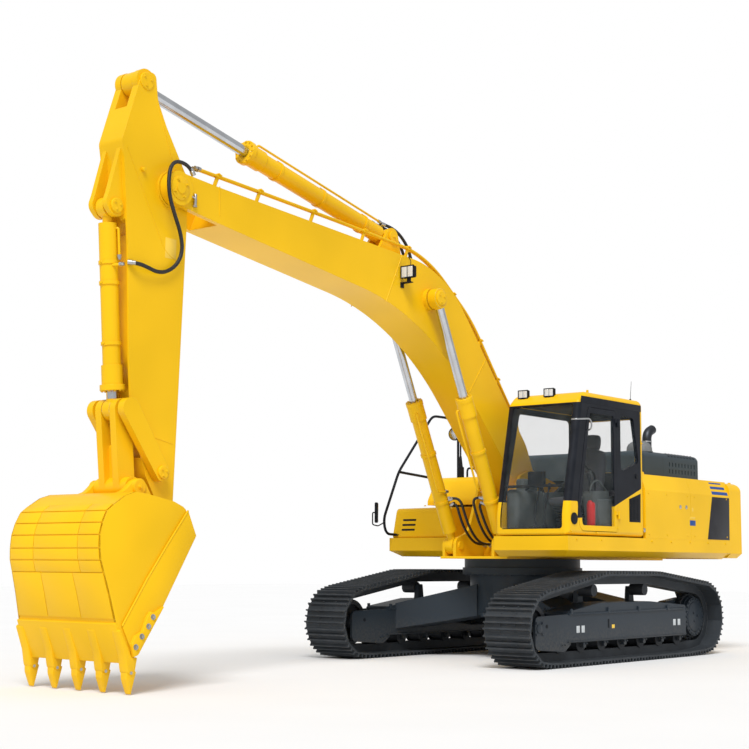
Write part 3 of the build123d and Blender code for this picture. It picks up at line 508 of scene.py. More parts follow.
FIELD = Moulded("dark_field_film", (0.022, 0.022, 0.026), "charcoal", rough=0.35, grain=900.0,
                depth=0.0001)
BLUE = Paint("blue_film", (0.016, 0.075, 0.30), "charcoal", rough=0.35, edge=0.001)
PLATE = Paint("yellow_plate_film", (0.95, 0.62, 0.08), "yellow", rough=0.35, edge=0.001)
PALE = Paint("pale_plate_film", (0.62, 0.66, 0.68), "charcoal", rough=0.4, edge=0.001)
RED = Paint("extinguisher_enamel", (0.55, 0.02, 0.02), "charcoal")
RUBBER = Hose("hose_wrap")
WORN = {
    YELLOW: ("boom", "arm", "counterweight", "deck_left", "deck_right", "revolving_frame",
             "body_panels_left", "body_panels_right", "tool_box", "fuel_tank", "cab_lower",
             "cab_roof", "door_panel", "side_links", "h_link", "boom_cylinder_barrel",
             "arm_cylinder_barrel", "bucket_cylinder_barrel"),
    CHROME: ("boom_cylinder_rod", "arm_cylinder_rod", "bucket_cylinder_rod"),
    DARK: ("car_body", "track_frame_left", "track_frame_right", "final_drives", "slew_ring"),
    TRACK: ("track_left", "track_right"),
    IRON: ("idlers", "rollers_left", "rollers_right", "sprockets"),
    HOOD: ("hood",),
    ENGINE: ("engine_block",),
    EXHAUST: ("exhaust",),
    CAB_DARK: ("cab_pillars", "door_frame"),
    CONSOLE: ("consoles",),
    GLASS: ("cab_glass", "door_glass"),
}


# ---------------------------------------------------------------- meshes
class Side(IntEnum):
    """A side of the machine, or of one of its tracks, by its sign along Y."""

    LEFT = 1
    RIGHT = -1

    @property
    def tag(self) -> str:
        """Return the side's name as it stands in the pieces' names."""
        return self.name.lower()

    @property
    def out(self) -> Vector:
        """Return the way out to this side."""
        return Vector((0.0, float(self), 0.0))

    def span(self, near: float, far: float) -> tuple[float, float]:
        """Return the Y of two distances out to this side, the lower first."""
        low, high = sorted((self * near, self * far))
        return low, high


class Spline(Enum):
    """How a tube runs through its points: straight between them, or smoothly past them."""

    STRAIGHT = "POLY"
    SMOOTH = "NURBS"


@dataclass(frozen=True)
class PinLine:
    """A side-view frame at a pin: along its line, up across it, out to the cab's side."""

    pin: Vector
    angle: float

    def at(self, along: float, up: float, out: float = 0.0) -> Vector:
        """Return a place of the frame as a point."""
        c, s = math.cos(self.angle), math.sin(self.angle)
        return Vector((self.pin.x + along * c - up * s, out, self.pin.z + along * s + up * c))

    def way(self, along: float, up: float, out: float = 0.0) -> Vector:
        """Return a direction of the frame."""
        return (self.at(along, up, out) - self.at(0.0, 0.0)).normalized()


def joint_pin(name: str) -> Vector:
    """Return the place of a joint's pin."""
    return Vector(next(j["pos_m"] for j in frame["joints"] if j["name"] == name))


def joint_line(swing: str, slide: str) -> PinLine:
    """Return a cylinder's own line, from its foot pin along its rod."""
    axis = next(j["axis"] for j in frame["joints"] if j["name"] == slide)
    return PinLine(joint_pin(swing), math.atan2(axis[2], axis[0]))


def line_between(start: Vector, end: Vector) -> PinLine:
    """Return the line from one pin to the next."""
    return PinLine(start, math.atan2(end.z - start.z, end.x - start.x))


FILM = 0.0012  # how far a stuck-on plate stands out
SIDE = PinLine(Vector((0.0, 0.0, 0.0)), 0.0)
BOOM_LINE = line_between(joint_pin("boom_lift"), joint_pin("arm_swing"))
ARM_LINE = line_between(joint_pin("arm_swing"), joint_pin("bucket_curl"))
BUCKET_LINE = PinLine(joint_pin("bucket_curl"), math.radians(-61.868))
JACKS = {
    "boom": joint_line("boom_cylinder_swing", "boom_cylinder_slide"),
    "arm": joint_line("arm_cylinder_swing", "arm_cylinder_slide"),
    "bucket": joint_line("bucket_cylinder_swing", "bucket_cylinder_slide"),
}


def facing(direction: Point, roll: Point = (0.0, 0.0, 1.0)) -> Matrix:
    """Return the turn that lays local Z along a direction, with local Y near the roll's."""
    z = Vector(direction).normalized()
    y = Vector(roll) - z * Vector(roll).dot(z)
    if y.length < 1e-4:
        y = Vector((1.0, 0.0, 0.0)) - z * z.x
    y.normalize()
    return Matrix((y.cross(z), y, z)).transposed().to_4x4()


def tube_mesh(name: str, spline: Spline, places: Sequence[Vector], radius: float,
              facets: int = 3) -> bpy.types.Mesh:
    """Return a tube through points, or its bare line where the radius is 0.

    Args:
        name: the name of the curve it is made from.
        spline: how it runs through the points.
        places: the points.
        radius: its outer radius.
        facets: the steps of a quarter of its section, less one.

    Returns:
        The mesh.
    """
    curve = bpy.data.curves.new(name, "CURVE")
    curve.dimensions = "3D"
    run = curve.splines.new(spline.value)
    run.points.add(len(places) - 1)
    for point, place in zip(run.points, places):
        point.co = (*place, 1.0)
    if spline is Spline.SMOOTH:
        run.order_u, run.use_endpoint_u, run.resolution_u = 3, True, 10
    curve.bevel_depth, curve.bevel_resolution, curve.use_fill_caps = radius, facets, True
    holder = bpy.data.objects.new(name, curve)
    made = bpy.data.meshes.new_from_object(holder)
    bpy.data.objects.remove(holder)
    bpy.data.curves.remove(curve)
    return made


class Stock:
    """A piece in the making, shaped with bmesh operators."""

    def __init__(self, name: str) -> None:
        """Start an empty mesh under the piece's name."""
        self.name = name
        self.mesh = bmesh.new()

    def _ease(self, verts: list[bmesh.types.BMVert], edge: float, segments: int,
              chosen: Callable[[bmesh.types.BMEdge], bool]) -> None:
        """Round the chosen edges of some vertices."""
        edges = [e for e in dict.fromkeys(e for v in verts for e in v.link_edges) if chosen(e)]
        bmesh.ops.bevel(self.mesh, geom=edges, offset=edge, offset_type="OFFSET",
                        segments=segments, profile=0.5, affect="EDGES", clamp_overlap=True,
                        material=-1)

    def block(self, low: Point, high: Point, edge: float = 0.0, segments: int = 2,
              place: Matrix | None = None) -> "Stock":
        """Add a block between two corners, with eased edges.

        Args:
            low: its lowest corner.
            high: its highest corner.
            edge: the radius of its edges.
            segments: the facets of each rounded edge.
            place: where the block goes, from its own coordinates.

        Returns:
            The piece.
        """
        low, high = Vector(low), Vector(high)
        verts = bmesh.ops.create_cube(self.mesh, size=1.0)["verts"]
        bmesh.ops.scale(self.mesh, vec=high - low, verts=verts)
        bmesh.ops.translate(self.mesh, vec=(low + high) / 2, verts=verts)
        if place is not None:
            bmesh.ops.transform(self.mesh, matrix=place, verts=verts)
        if edge:
            self._ease(verts, edge, segments, lambda e: True)
        return self

    def bezel(self, place: Point, size: Point, wide: float, lap: float,
              edge: float) -> "Stock":
        """Add the four bars of a frame that looks forward.

        Args:
            place: the middle of its back.
            size: its depth, and half its width and height.
            wide: the width of each bar.
            lap: how far the upright bars stop short of its top and bottom.
            edge: the radius of the bars' edges.

        Returns:
            The piece.
        """
        x, y, z = place
        deep, out, up = size
        for low, high in (((-out, lap - up), (wide - out, up - lap)),
                          ((out - wide, lap - up), (out, up - lap)),
                          ((-out, up - wide), (out, up)), ((-out, -up), (out, wide - up))):
            self.block((x, y + low[0], z + low[1]), (x + deep, y + high[0], z + high[1]), edge)
        return self

    def bar(self, start: Point, end: Point, radius: float, far_radius: float | None = None,
            sides: int = 24, edge: float = 0.0) -> "Stock":
        """Add a round bar or a cone between two points, with eased rims."""
        start, end = Vector(start), Vector(end)
        run = end - start
        place = Matrix.Translation((start + end) / 2) @ facing(run)
        far = radius if far_radius is None else far_radius
        verts = bmesh.ops.create_cone(self.mesh, cap_ends=True, segments=sides, radius1=radius,
                                      radius2=far, depth=run.length, matrix=place)["verts"]
        if edge:
            self._ease(verts, edge, 2,
                       lambda e: any(len(f.verts) > 4 for f in e.link_faces))
        return self

    def turning(self, profile: Sequence[tuple[float, float]], start: Point, direction: Point,
                sides: int = 32) -> "Stock":
        """Spin a profile of (distance along, radius) pairs round an axis."""
        place = Matrix.Translation(Vector(start)) @ facing(direction)
        points = [self.mesh.verts.new(place @ Vector((r, 0.0, d))) for d, r in profile]
        runs = [self.mesh.edges.new(pair) for pair in zip(points, points[1:])]
        bmesh.ops.spin(self.mesh, geom=points + runs, cent=Vector(start),
                       axis=Vector(direction).normalized(), dvec=(0, 0, 0),
                       angle=2 * math.pi, steps=sides, use_merge=True)
        return self

    def cap(self, place: Point, direction: Point, radius: float, rise: float, edge: Point,
            sides: int = 36, root: float = 0.01) -> "Stock":
        """Add a round cap that stands on a face.

        Args:
            place: the middle of its foot.
            direction: the way it looks.
            radius: its radius.
            rise: how far it stands out.
            edge: the height and the width of its bevelled rim.
            sides: the facets round it.
            root: how far it reaches into the face.

        Returns:
            The piece.
        """
        high, wide = edge
        rim = [(rise, radius - wide)] if wide else []
        return self.turning([(-root, 0.0), (-root, radius), (rise - high, radius), *rim,
                             (rise, 0.0)], place, direction, sides)

    def slab(self, outline: Sequence[tuple[float, float]], line: PinLine, out_low: float,
             out_high: float, edge: float = 0.0, segments: int = 2) -> "Stock":
        """Add an outline of (along, up) places of a line, stretched across the machine."""
        corners = [self.mesh.verts.new(line.at(a, b, out_low)) for a, b in outline]
        face = self.mesh.faces.new(corners)
        grown = bmesh.ops.extrude_face_region(self.mesh, geom=[face])["geom"]
        lifted = [v for v in grown if isinstance(v, bmesh.types.BMVert)]
        bmesh.ops.translate(self.mesh, vec=(0, out_high - out_low, 0), verts=lifted)
        whole = corners + lifted
        faces = list(dict.fromkeys(f for v in whole for f in v.link_faces))
        bmesh.ops.recalc_face_normals(self.mesh, faces=faces)
        if edge:
            self._ease(whole, edge, segments, lambda e: True)
        return self

    def bolt(self, place: Point, direction: Point, size: float = 0.03,
             washer: bool = True) -> "Stock":
        """Add a hexagon head on its washer, looking along a direction."""
        place, way = Vector(place), Vector(direction).normalized()
        if washer:
            self.bar(place, place + way * size * 0.12, size * 0.72, sides=16)
        self.bar(place, place + way * size * 0.55, size * 0.5, size * 0.47, sides=6)
        return self

    def ring(self, centre: Point, axis: Point, radius: float, count: int, size: float,
             start: float = 0.0) -> "Stock":
        """Add bolts in a ring that look along its axis."""
        turn = facing(axis)
        for i in range(count):
            a = start + 2 * math.pi * i / count
            self.bolt(Vector(centre) + turn @ Vector((radius * math.cos(a),
                                                      radius * math.sin(a), 0)), axis, size)
        return self

    def rod(self, points: Sequence[Point], radius: float, bend: float = 0.0,
            sides: int = 12) -> "Stock":
        """Add a bent rod along points; its corners are rounded by a bend radius."""
        route = [Vector(p) for p in points]
        smooth = [route[0]]
        for back, here, ahead in zip(route, route[1:], route[2:]):
            into, away = (back - here), (ahead - here)
            reach = min(bend, 0.49 * into.length, 0.49 * away.length)
            a, b = here + into.normalized() * reach, here + away.normalized() * reach
            smooth += [a * (1 - t) ** 2 + here * 2 * t * (1 - t) + b * t * t
                       for t in (0, 0.2, 0.4, 0.6, 0.8, 1.0)] if reach > 1e-6 else [here]
        smooth.append(route[-1])
        made = tube_mesh(self.name + "_run", Spline.STRAIGHT, smooth, radius,
                         max(1, sides // 4 - 1))
        self.mesh.from_mesh(made)
        bpy.data.meshes.remove(made)
        return self

    def piece(self, finish: Any, body: str, sharp: float = 32.0, mend: bool = False,
              slot: str | None = None) -> bpy.types.Object:
        """Finish the piece: smooth it, give it its finish and set it riding on its body.

        Args:
            finish: the finish it wears.
            body: the body that it moves with.
            sharp: edges steeper than this many degrees stay sharp.
            mend: merge doubles and turn the faces outwards first.
            slot: the material slot, where it isn't the finish's own; it is worked out but not
                used.

        Returns:
            The object.
        """
        if mend:
            bmesh.ops.remove_doubles(self.mesh, verts=self.mesh.verts, dist=1e-5)
            bmesh.ops.recalc_face_normals(self.mesh, faces=self.mesh.faces)
        for face in self.mesh.faces:
            face.smooth = True
        for edge in self.mesh.edges:
            edge.smooth = (len(edge.link_faces) == 2
                           and edge.calc_face_angle(0.0) < math.radians(sharp))
        data = bpy.data.meshes.new(self.name)
        self.mesh.to_mesh(data)
        self.mesh.free()
        made = bpy.data.objects.new(self.name, data)
        bpy.context.scene.collection.objects.link(made)
        data.materials.append(FINISHES.get(finish))
        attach(made, body)
        chosen = slot or getattr(finish, "slot", None)
        log.info("piece %s: %d faces on %s", self.name, len(data.polygons), body)
        return made


def dress(nodes: Iterable[str], finish: Any) -> None:
    """Give solids their finish through their own material slots."""
    for node in nodes:
        made = frame["nodes"][node]
        if not made.material_slots:
            made.data.materials.append(FINISHES.get(finish))
        for place in made.material_slots:
            place.material = FINISHES.get(finish)
        log.info("solid %s wears %s", node, finish.name)


# ---------------------------------------------------------------- studio
@dataclass
class Studio:
    """The floor, the lights and the camera."""

    camera_place: Point = (15.8829, 10.4864, 1.1296)
    camera_yaw: float = 3.82331
    camera_pitch: float = 0.1251
    camera_roll: float = 0.0062
    lens: float = 72.0961
    sensor: float = 36.0
    floor_size: float = 90.0
    ambient: float = 0.56
    sun: float = 2.35
    sun_way: Point = (0.62, 0.42, 0.9)
    sun_spread: float = 24.0

    def camera(self) -> None:
        """Set the camera at its viewing angle."""
        yaw, pitch, roll = self.camera_yaw, self.camera_pitch, self.camera_roll
        ahead = Vector((math.cos(yaw) * math.cos(pitch), math.sin(yaw) * math.cos(pitch),
                        math.sin(pitch)))
        right = ahead.cross(Vector((0, 0, 1))).normalized()
        up = right.cross(ahead)
        side = right * math.cos(roll) + up * math.sin(roll)
        top = up * math.cos(roll) - right * math.sin(roll)
        data = bpy.data.cameras.new("camera")
        data.sensor_width, data.lens = self.sensor, self.lens
        data.clip_end = 200.0
        made = bpy.data.objects.new("camera", data)
        bpy.context.scene.collection.objects.link(made)
        turn = Matrix((side, top, -ahead)).transposed().to_4x4()
        made.matrix_world = Matrix.Translation(Vector(self.camera_place)) @ turn
        bpy.context.scene.camera = made

    def floor(self) -> None:
        """Lay a plain pale floor."""
        mesh = bmesh.new()
        bmesh.ops.create_grid(mesh, x_segments=2, y_segments=2, size=self.floor_size / 2)
        data = bpy.data.meshes.new("floor")
        mesh.to_mesh(data)
        mesh.free()
        made = bpy.data.objects.new("floor", data)
        made.location.z = cad_box[0].z - 0.001
        bpy.context.scene.collection.objects.link(made)
        mix = Mix("floor_paper")
        paper = mix.noise(0.6, 2.0)
        mix.set(Base_Color=mix.blend(paper, (0.86, 0.86, 0.86), (0.9, 0.9, 0.9)),
                Roughness=0.9, Specular_IOR_Level=0.1)
        data.materials.append(mix.material)

    def lights(self) -> None:
        """Set the white surroundings, the key light and the sky light."""
        world = bpy.data.worlds.new("studio")
        bpy.context.scene.world = world
        world.use_nodes = True
        tree = world.node_tree
        back, seen = tree.nodes["Background"], tree.nodes.new("ShaderNodeBackground")
        for shader, strength in ((back, self.ambient), (seen, 1.0)):
            shader.inputs["Color"].default_value = (1.0, 1.0, 1.0, 1.0)
            shader.inputs["Strength"].default_value = strength
        path, mixer = tree.nodes.new("ShaderNodeLightPath"), tree.nodes.new("ShaderNodeMixShader")
        tree.links.new(path.outputs["Is Camera Ray"], mixer.inputs[0])
        tree.links.new(back.outputs[0], mixer.inputs[1])
        tree.links.new(seen.outputs[0], mixer.inputs[2])
        tree.links.new(mixer.outputs[0], tree.nodes["World Output"].inputs["Surface"])
        sun = bpy.data.lights.new("key", "SUN")
        sun.energy, sun.angle = self.sun, math.radians(self.sun_spread)
        made = bpy.data.objects.new("key", sun)
        bpy.context.scene.collection.objects.link(made)
        made.matrix_world = facing(self.sun_way)
        bpy.context.scene.view_settings.view_transform = "Standard"
        bpy.context.scene.view_settings.look = "None"


# ---------------------------------------------------------------- hoses
@dataclass
class HoseRun:
    """One free hose: a smooth line through its route's control points."""

    name: str
    route: list[Vector]
    radius: float
    length: float
    bodies: tuple[str, ...]
    start: Point = (0, 0, 0)
    end: Point = (0, 0, 0)
    ferrule: float = 0.075

    def line(self) -> list[Vector]:
        """Return points along the smooth line, in order."""
        mesh = tube_mesh(self.name + "_line", Spline.SMOOTH, self.route, 0.0)
        points = [v.co.copy() for v in mesh.vertices]
        bpy.data.meshes.remove(mesh)
        return points

    def build(self) -> bpy.types.Object:
        points = self.line()
        data = tube_mesh(self.name + "_line", Spline.SMOOTH, self.route, self.radius)
        data.name = self.name
        uv = data.uv_layers.new(name="run")
        reach, total = [], 0.0
        for i, point in enumerate(points):
            total += (point - points[i - 1]).length if i else 0.0
            reach.append(total)
        for polygon in data.polygons:
            polygon.use_smooth = True
            for corner in polygon.loop_indices:
                place = data.vertices[data.loops[corner].vertex_index].co
                near = min(range(len(points)), key=lambda i: (points[i] - place).length_squared)
                uv.data[corner].uv = (reach[near], 0.0)
        made = bpy.data.objects.new(self.name, data)
        bpy.context.scene.collection.objects.link(made)
        data.materials.clear()
        data.materials.append(FINISHES.get(RUBBER))
        for tag, tip, inner, body in (("start", points[0], points[1], self.bodies[0]),
                                      ("end", points[-1], points[-2], self.bodies[-1])):
            way = (inner - tip).normalized()
            stock = Stock(f"{self.name}_{tag}_ferrule")
            r = self.radius
            stock.turning([(0.0, r * 1.02), (0.0, r * 1.28), (self.ferrule * 0.55, r * 1.34),
                           (self.ferrule * 0.6, r * 1.2), (self.ferrule * 0.95, r * 1.2),
                           (self.ferrule, r * 1.05)], tip, way, 20)
            stock.piece(FITTING, body, mend=True)
        if len(self.bodies) == 2:
            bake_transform(made)
        else:
            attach(made, self.bodies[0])
        log.info("hose %s: %.3f m", self.name, reach[-1])
        return made


@dataclass
class Hoses:
    """All the free hoses of the working equipment.

    The arm's hose runs by (along, up, out) places of the arm, the arm cylinder's by (along, up)
    places of the boom, and the boom cylinders' by points on the cab's side.
    """

    arm_route: tuple[Point, ...] = (
        (-0.181, -0.228, 0.228), (-0.256, -0.178, 0.228), (-0.278, -0.020, 0.240),
        (-0.215, 0.115, 0.285), (-0.070, 0.182, 0.318), (0.110, 0.172, 0.324),
        (0.270, 0.070, 0.295), (0.420, -0.060, 0.248), (0.575, -0.125, 0.214),
        (0.715, -0.070, 0.206), (0.810, 0.060, 0.206), (0.835, 0.190, 0.210),
        (0.812, 0.330, 0.230), (0.796, 0.450, 0.236), (0.790, 0.524, 0.172))
    foot_route: tuple[Point, ...] = ((3.524, 1.584), (3.400, 1.636), (3.230, 1.668),
                                     (3.060, 1.640), (2.925, 1.567), (2.822, 1.459))
    lift_routes: tuple[tuple[str, float, tuple[Point, ...]], ...] = (
        ("inner", 1.24, ((0.46, 0.084, 1.225), (0.465, 0.084, 1.368), (0.742, 0.084, 1.367),
                         (0.884, 0.084, 1.432), (1.015, 0.084, 1.560), (1.105, 0.084, 1.700),
                         (1.222, 0.090, 1.945), (1.196, 0.262, 1.893))),
        ("outer", 1.10, ((0.46, 0.167, 1.225), (0.465, 0.167, 1.368), (0.738, 0.167, 1.366),
                         (0.868, 0.167, 1.424), (0.990, 0.167, 1.530), (1.090, 0.167, 1.672),
                         (1.188, 0.160, 1.872), (1.166, 0.262, 1.830))))

    def build(self) -> None:
        """Make the arm's hose, the arm cylinder's two and the boom cylinders' four."""
        points = [ARM_LINE.at(*place) for place in self.arm_route]
        HoseRun("arm_side_hose", points, 0.019, 2.04, ("boom", "arm"),
                start=(points[3].x, 0.3, points[3].z), end=(points[3].x, 0.3, points[8].z)).build()
        for side in Side:
            points = [BOOM_LINE.at(*place, side * 0.045) for place in self.foot_route]
            HoseRun(f"arm_cylinder_hose_{side.tag}", points, 0.018, 0.775, ("boom",)).build()
        for row, length, route in self.lift_routes:
            for side in Side:
                points = [Vector((x, side * y, z)) for x, y, z in route]
                HoseRun(f"boom_cylinder_hose_{row}_{side.tag}", points, 0.016, length,
                        ("house", "boom_cylinder_barrel"),
                        start=(0.76, 0, 1.37), end=(1.1, 0, 1.7)).build()


# ---------------------------------------------------------------- working equipment
@dataclass
class BoomFittings:
    """The pipes, lamp, pin caps and weld beads of the boom."""

    half: float = 0.25
    pipe: float = 0.014
    rows: tuple[float, float] = (0.196, 0.230)
    run: tuple[tuple[float, float], ...] = (
        (6.30, 0.352), (6.13, 0.412), (5.60, 0.604), (4.30, 1.066), (3.06, 1.490),
        (2.62, 1.512), (1.768, 1.326), (0.90, 0.878), (0.42, 0.640), (0.30, 0.480))
    clamps: tuple[tuple[float, float], ...] = (
        (6.045, 0.443), (5.48, 0.647), (4.70, 0.924), (3.90, 1.203), (3.16, 1.456),
        (2.20, 1.420), (1.50, 1.188), (1.00, 0.930))
    lamp_place: Point = (2.80, 0.35, 4.372)

    def pipes(self) -> None:
        """Run two steel pipes along each side, on their clamps."""
        pipes, brackets, nuts = Stock("boom_pipes"), Stock("boom_pipe_clamps"), Stock("pipe_nuts")
        for side in Side:
            for row in self.rows:
                pipes.rod([BOOM_LINE.at(a, b, side * row) for a, b in self.run], self.pipe, 0.25)
                for along in (0.0, 0.038):
                    nuts.bar(BOOM_LINE.at(6.285 + along, 0.358 - along * 0.35, side * row),
                             BOOM_LINE.at(6.317 + along, 0.346 - along * 0.35, side * row),
                             0.023 - along * 0.1, sides=6)
            for along, up in self.clamps:
                for reach, low, high, near, far, edge in (
                        (0.020, up - 0.17, up, 0.208, 0.224, 0.002),
                        (0.024, up + 0.006, up + 0.022, 0.172, 0.254, 0.003)):
                    brackets.slab([(along - reach, low), (along + reach, low),
                                   (along + reach, high), (along - reach, high)], BOOM_LINE,
                                  *side.span(near, far), edge)
                brackets.bolt(BOOM_LINE.at(along, up + 0.022, side * 0.213),
                              BOOM_LINE.way(0, 1), 0.018)
        pipes.piece(YELLOW, "boom", 60)
        brackets.piece(YELLOW, "boom")
        nuts.piece(FITTING, "boom")

    def lamp(self) -> None:
        """Hang the working lamp on its bracket at the boom's cab side."""
        x, y, z = self.lamp_place
        shell = Stock("boom_lamp_shell")
        shell.block((x - 0.042, y - 0.089, z - 0.067), (x + 0.022, y + 0.089, z + 0.067), 0.016, 3)
        shell.bezel((x + 0.014, y, z), (0.016, 0.092, 0.072), 0.012, 0.002, 0.004)
        shell.block((x - 0.02, y - 0.004, z - 0.06), (x + 0.026, y + 0.004, z + 0.06), 0.002)
        shell.block((x - 0.026, y - 0.02, z - 0.115), (x + 0.006, y + 0.02, z - 0.06), 0.004)
        shell.block((x - 0.04, self.half, z - 0.122), (x + 0.02, y + 0.04, z - 0.110), 0.003)
        shell.block((x - 0.04, self.half - 0.002, z - 0.17),
                    (x + 0.02, self.half + 0.010, z - 0.110), 0.003)
        shell.rod([(x - 0.03, y, z + 0.05), (x - 0.05, y, z + 0.13),
                   (x - 0.12, y - 0.09, z + 0.20), (x - 0.16, y - 0.12, z + 0.23)],
                  0.005, 0.04, 8)
        shell.piece(BLACK, "boom")
        glass = Stock("boom_lamp_lens")
        for low, high in ((-0.079, -0.005), (0.005, 0.079)):
            glass.block((x + 0.018, y + low, z - 0.059), (x + 0.0265, y + high, z + 0.059), 0.004)
        glass.piece(LENS, "boom")

    def pins(self) -> None:
        """Cap the pins at the tip, at the cylinders' eyes and at the arm cylinder's foot."""
        caps, zinc = Stock("boom_pin_caps"), Stock("boom_pin_locks")
        eye = BOOM_LINE.at(2.614, 1.099)
        foot = JACKS["arm"].pin
        for side in Side:
            out = side.out
            tip = BOOM_LINE.at(6.47, 0.0, side * 0.289)
            caps.cap(tip, out, 0.118, 0.014, (0.006, 0.010), 40)
            caps.ring(tip + out * 0.014, out, 0.088, 4, 0.026, 0.5)
            place = Vector((eye.x, side * 0.421, eye.z))
            caps.cap(place, out, 0.086, 0.016, (0.006, 0.008))
            caps.ring(place + out * 0.016, out, 0.05, 3, 0.02, 0.4)
            place = Vector((foot.x, side * 0.133, foot.z))
            caps.cap(place, out, 0.07, 0.012, (0.0, 0.0), 32)
            caps.bolt(place + out * 0.012, out, 0.03)
            zinc.rod([BOOM_LINE.at(6.37, 0.012, side * 0.285),
                      BOOM_LINE.at(6.25, 0.03, side * 0.272)], 0.005, 0, 8)
            lock = [BOOM_LINE.at(*place, side * 0.268)
                    for place in ((6.216, -0.046), (6.222, -0.03), (6.262, 0.075))]
            zinc.bar(lock[1], lock[2], 0.016, sides=12, edge=0.003)
            zinc.bar(lock[0], lock[1], 0.021, sides=6)
        caps.piece(YELLOW, "boom", mend=True)
        zinc.piece(FITTING, "boom")

    def beads(self) -> None:
        """Lay the weld beads where the side plates meet."""
        beads = Stock("boom_weld_beads")
        runs = (((6.005, 0.345), (5.885, 0.085)), ((3.254, 1.300), (3.292, 0.660)),
                ((1.35, 1.02), (1.49, 0.50)))
        for side in Side:
            for start, end in runs:
                beads.rod([BOOM_LINE.at(*start, side * self.half),
                           BOOM_LINE.at(*end, side * self.half)], 0.0055, 0, 8)
        beads.piece(YELLOW, "boom", 80)

    def build(self) -> None:
        """Build all of the boom's fittings."""
        self.pipes()
        self.lamp()
        self.pins()
        self.beads()


@dataclass
class ArmFittings:
    """The pin caps, grease posts, blank plates and weld beads of the arm."""

    half: float = 0.165
    plate: tuple[float, float, float, float] = (0.470, 0.665, -0.085, 0.055)

    def build(self) -> None:
        """Build all of the arm's fittings."""
        caps = Stock("arm_pin_caps")
        eye, foot = Vector((-0.983, 0.352)), Vector((0.274, 0.645))
        places = ((eye, self.half - 0.002, 0.085, 0.05), (foot, 0.136, 0.07, 0.04),
                  (Vector((2.700, 0.080)), 0.258, 0.062, 0.035),
                  (Vector((3.185, 0.0)), 0.2125, 0.10, 0.06))
        for side in Side:
            out = side.out
            for place, reach, radius, ring in places:
                at = ARM_LINE.at(place[0], place[1], side * reach)
                caps.cap(at, out, radius, 0.014, (0.005, 0.008))
                caps.ring(at + out * 0.014, out, ring, 3, 0.02, 0.3)
            # the short grease post under the boom's tip
            caps.bar(ARM_LINE.at(-0.12, 0.37, side * self.half),
                     ARM_LINE.at(-0.12, 0.37, side * (self.half + 0.03)), 0.022, edge=0.004)
        caps.piece(YELLOW, "arm", mend=True)
        beads = Stock("arm_weld_beads")
        for side in Side:
            y = side * self.half
            for run in (((-0.30, 0.57), (0.62, 0.05), (0.70, -0.16)),
                        ((-0.80, 0.20), (-0.36, 0.03), (0.10, -0.16)),
                        ((2.35, 0.27), (2.42, -0.11))):
                beads.rod([ARM_LINE.at(a, b, y) for a, b in run], 0.004, 0.1, 8)
        beads.piece(YELLOW, "arm", 80)
        plates = Stock("arm_blank_plates")
        low_a, high_a, low_b, high_b = self.plate
        for side in Side:
            plates.slab([(low_a, low_b), (high_a, low_b), (high_a, high_b), (low_a, high_b)],
                        ARM_LINE, *side.span(self.half, self.half + FILM), 0.0005)
        plates.piece(PLATE, "arm")


@dataclass(frozen=True)
class JackSize:
    """One kind of hydraulic cylinder, sized along its own line from the foot's pin."""

    body: str
    line: PinLine
    gland: float
    barrel: float
    places: tuple[float, ...]
    bands: tuple[float, ...]
    pipes: tuple[tuple[tuple[tuple[float, float, float], ...], float], ...]
    flange: float = 0.033


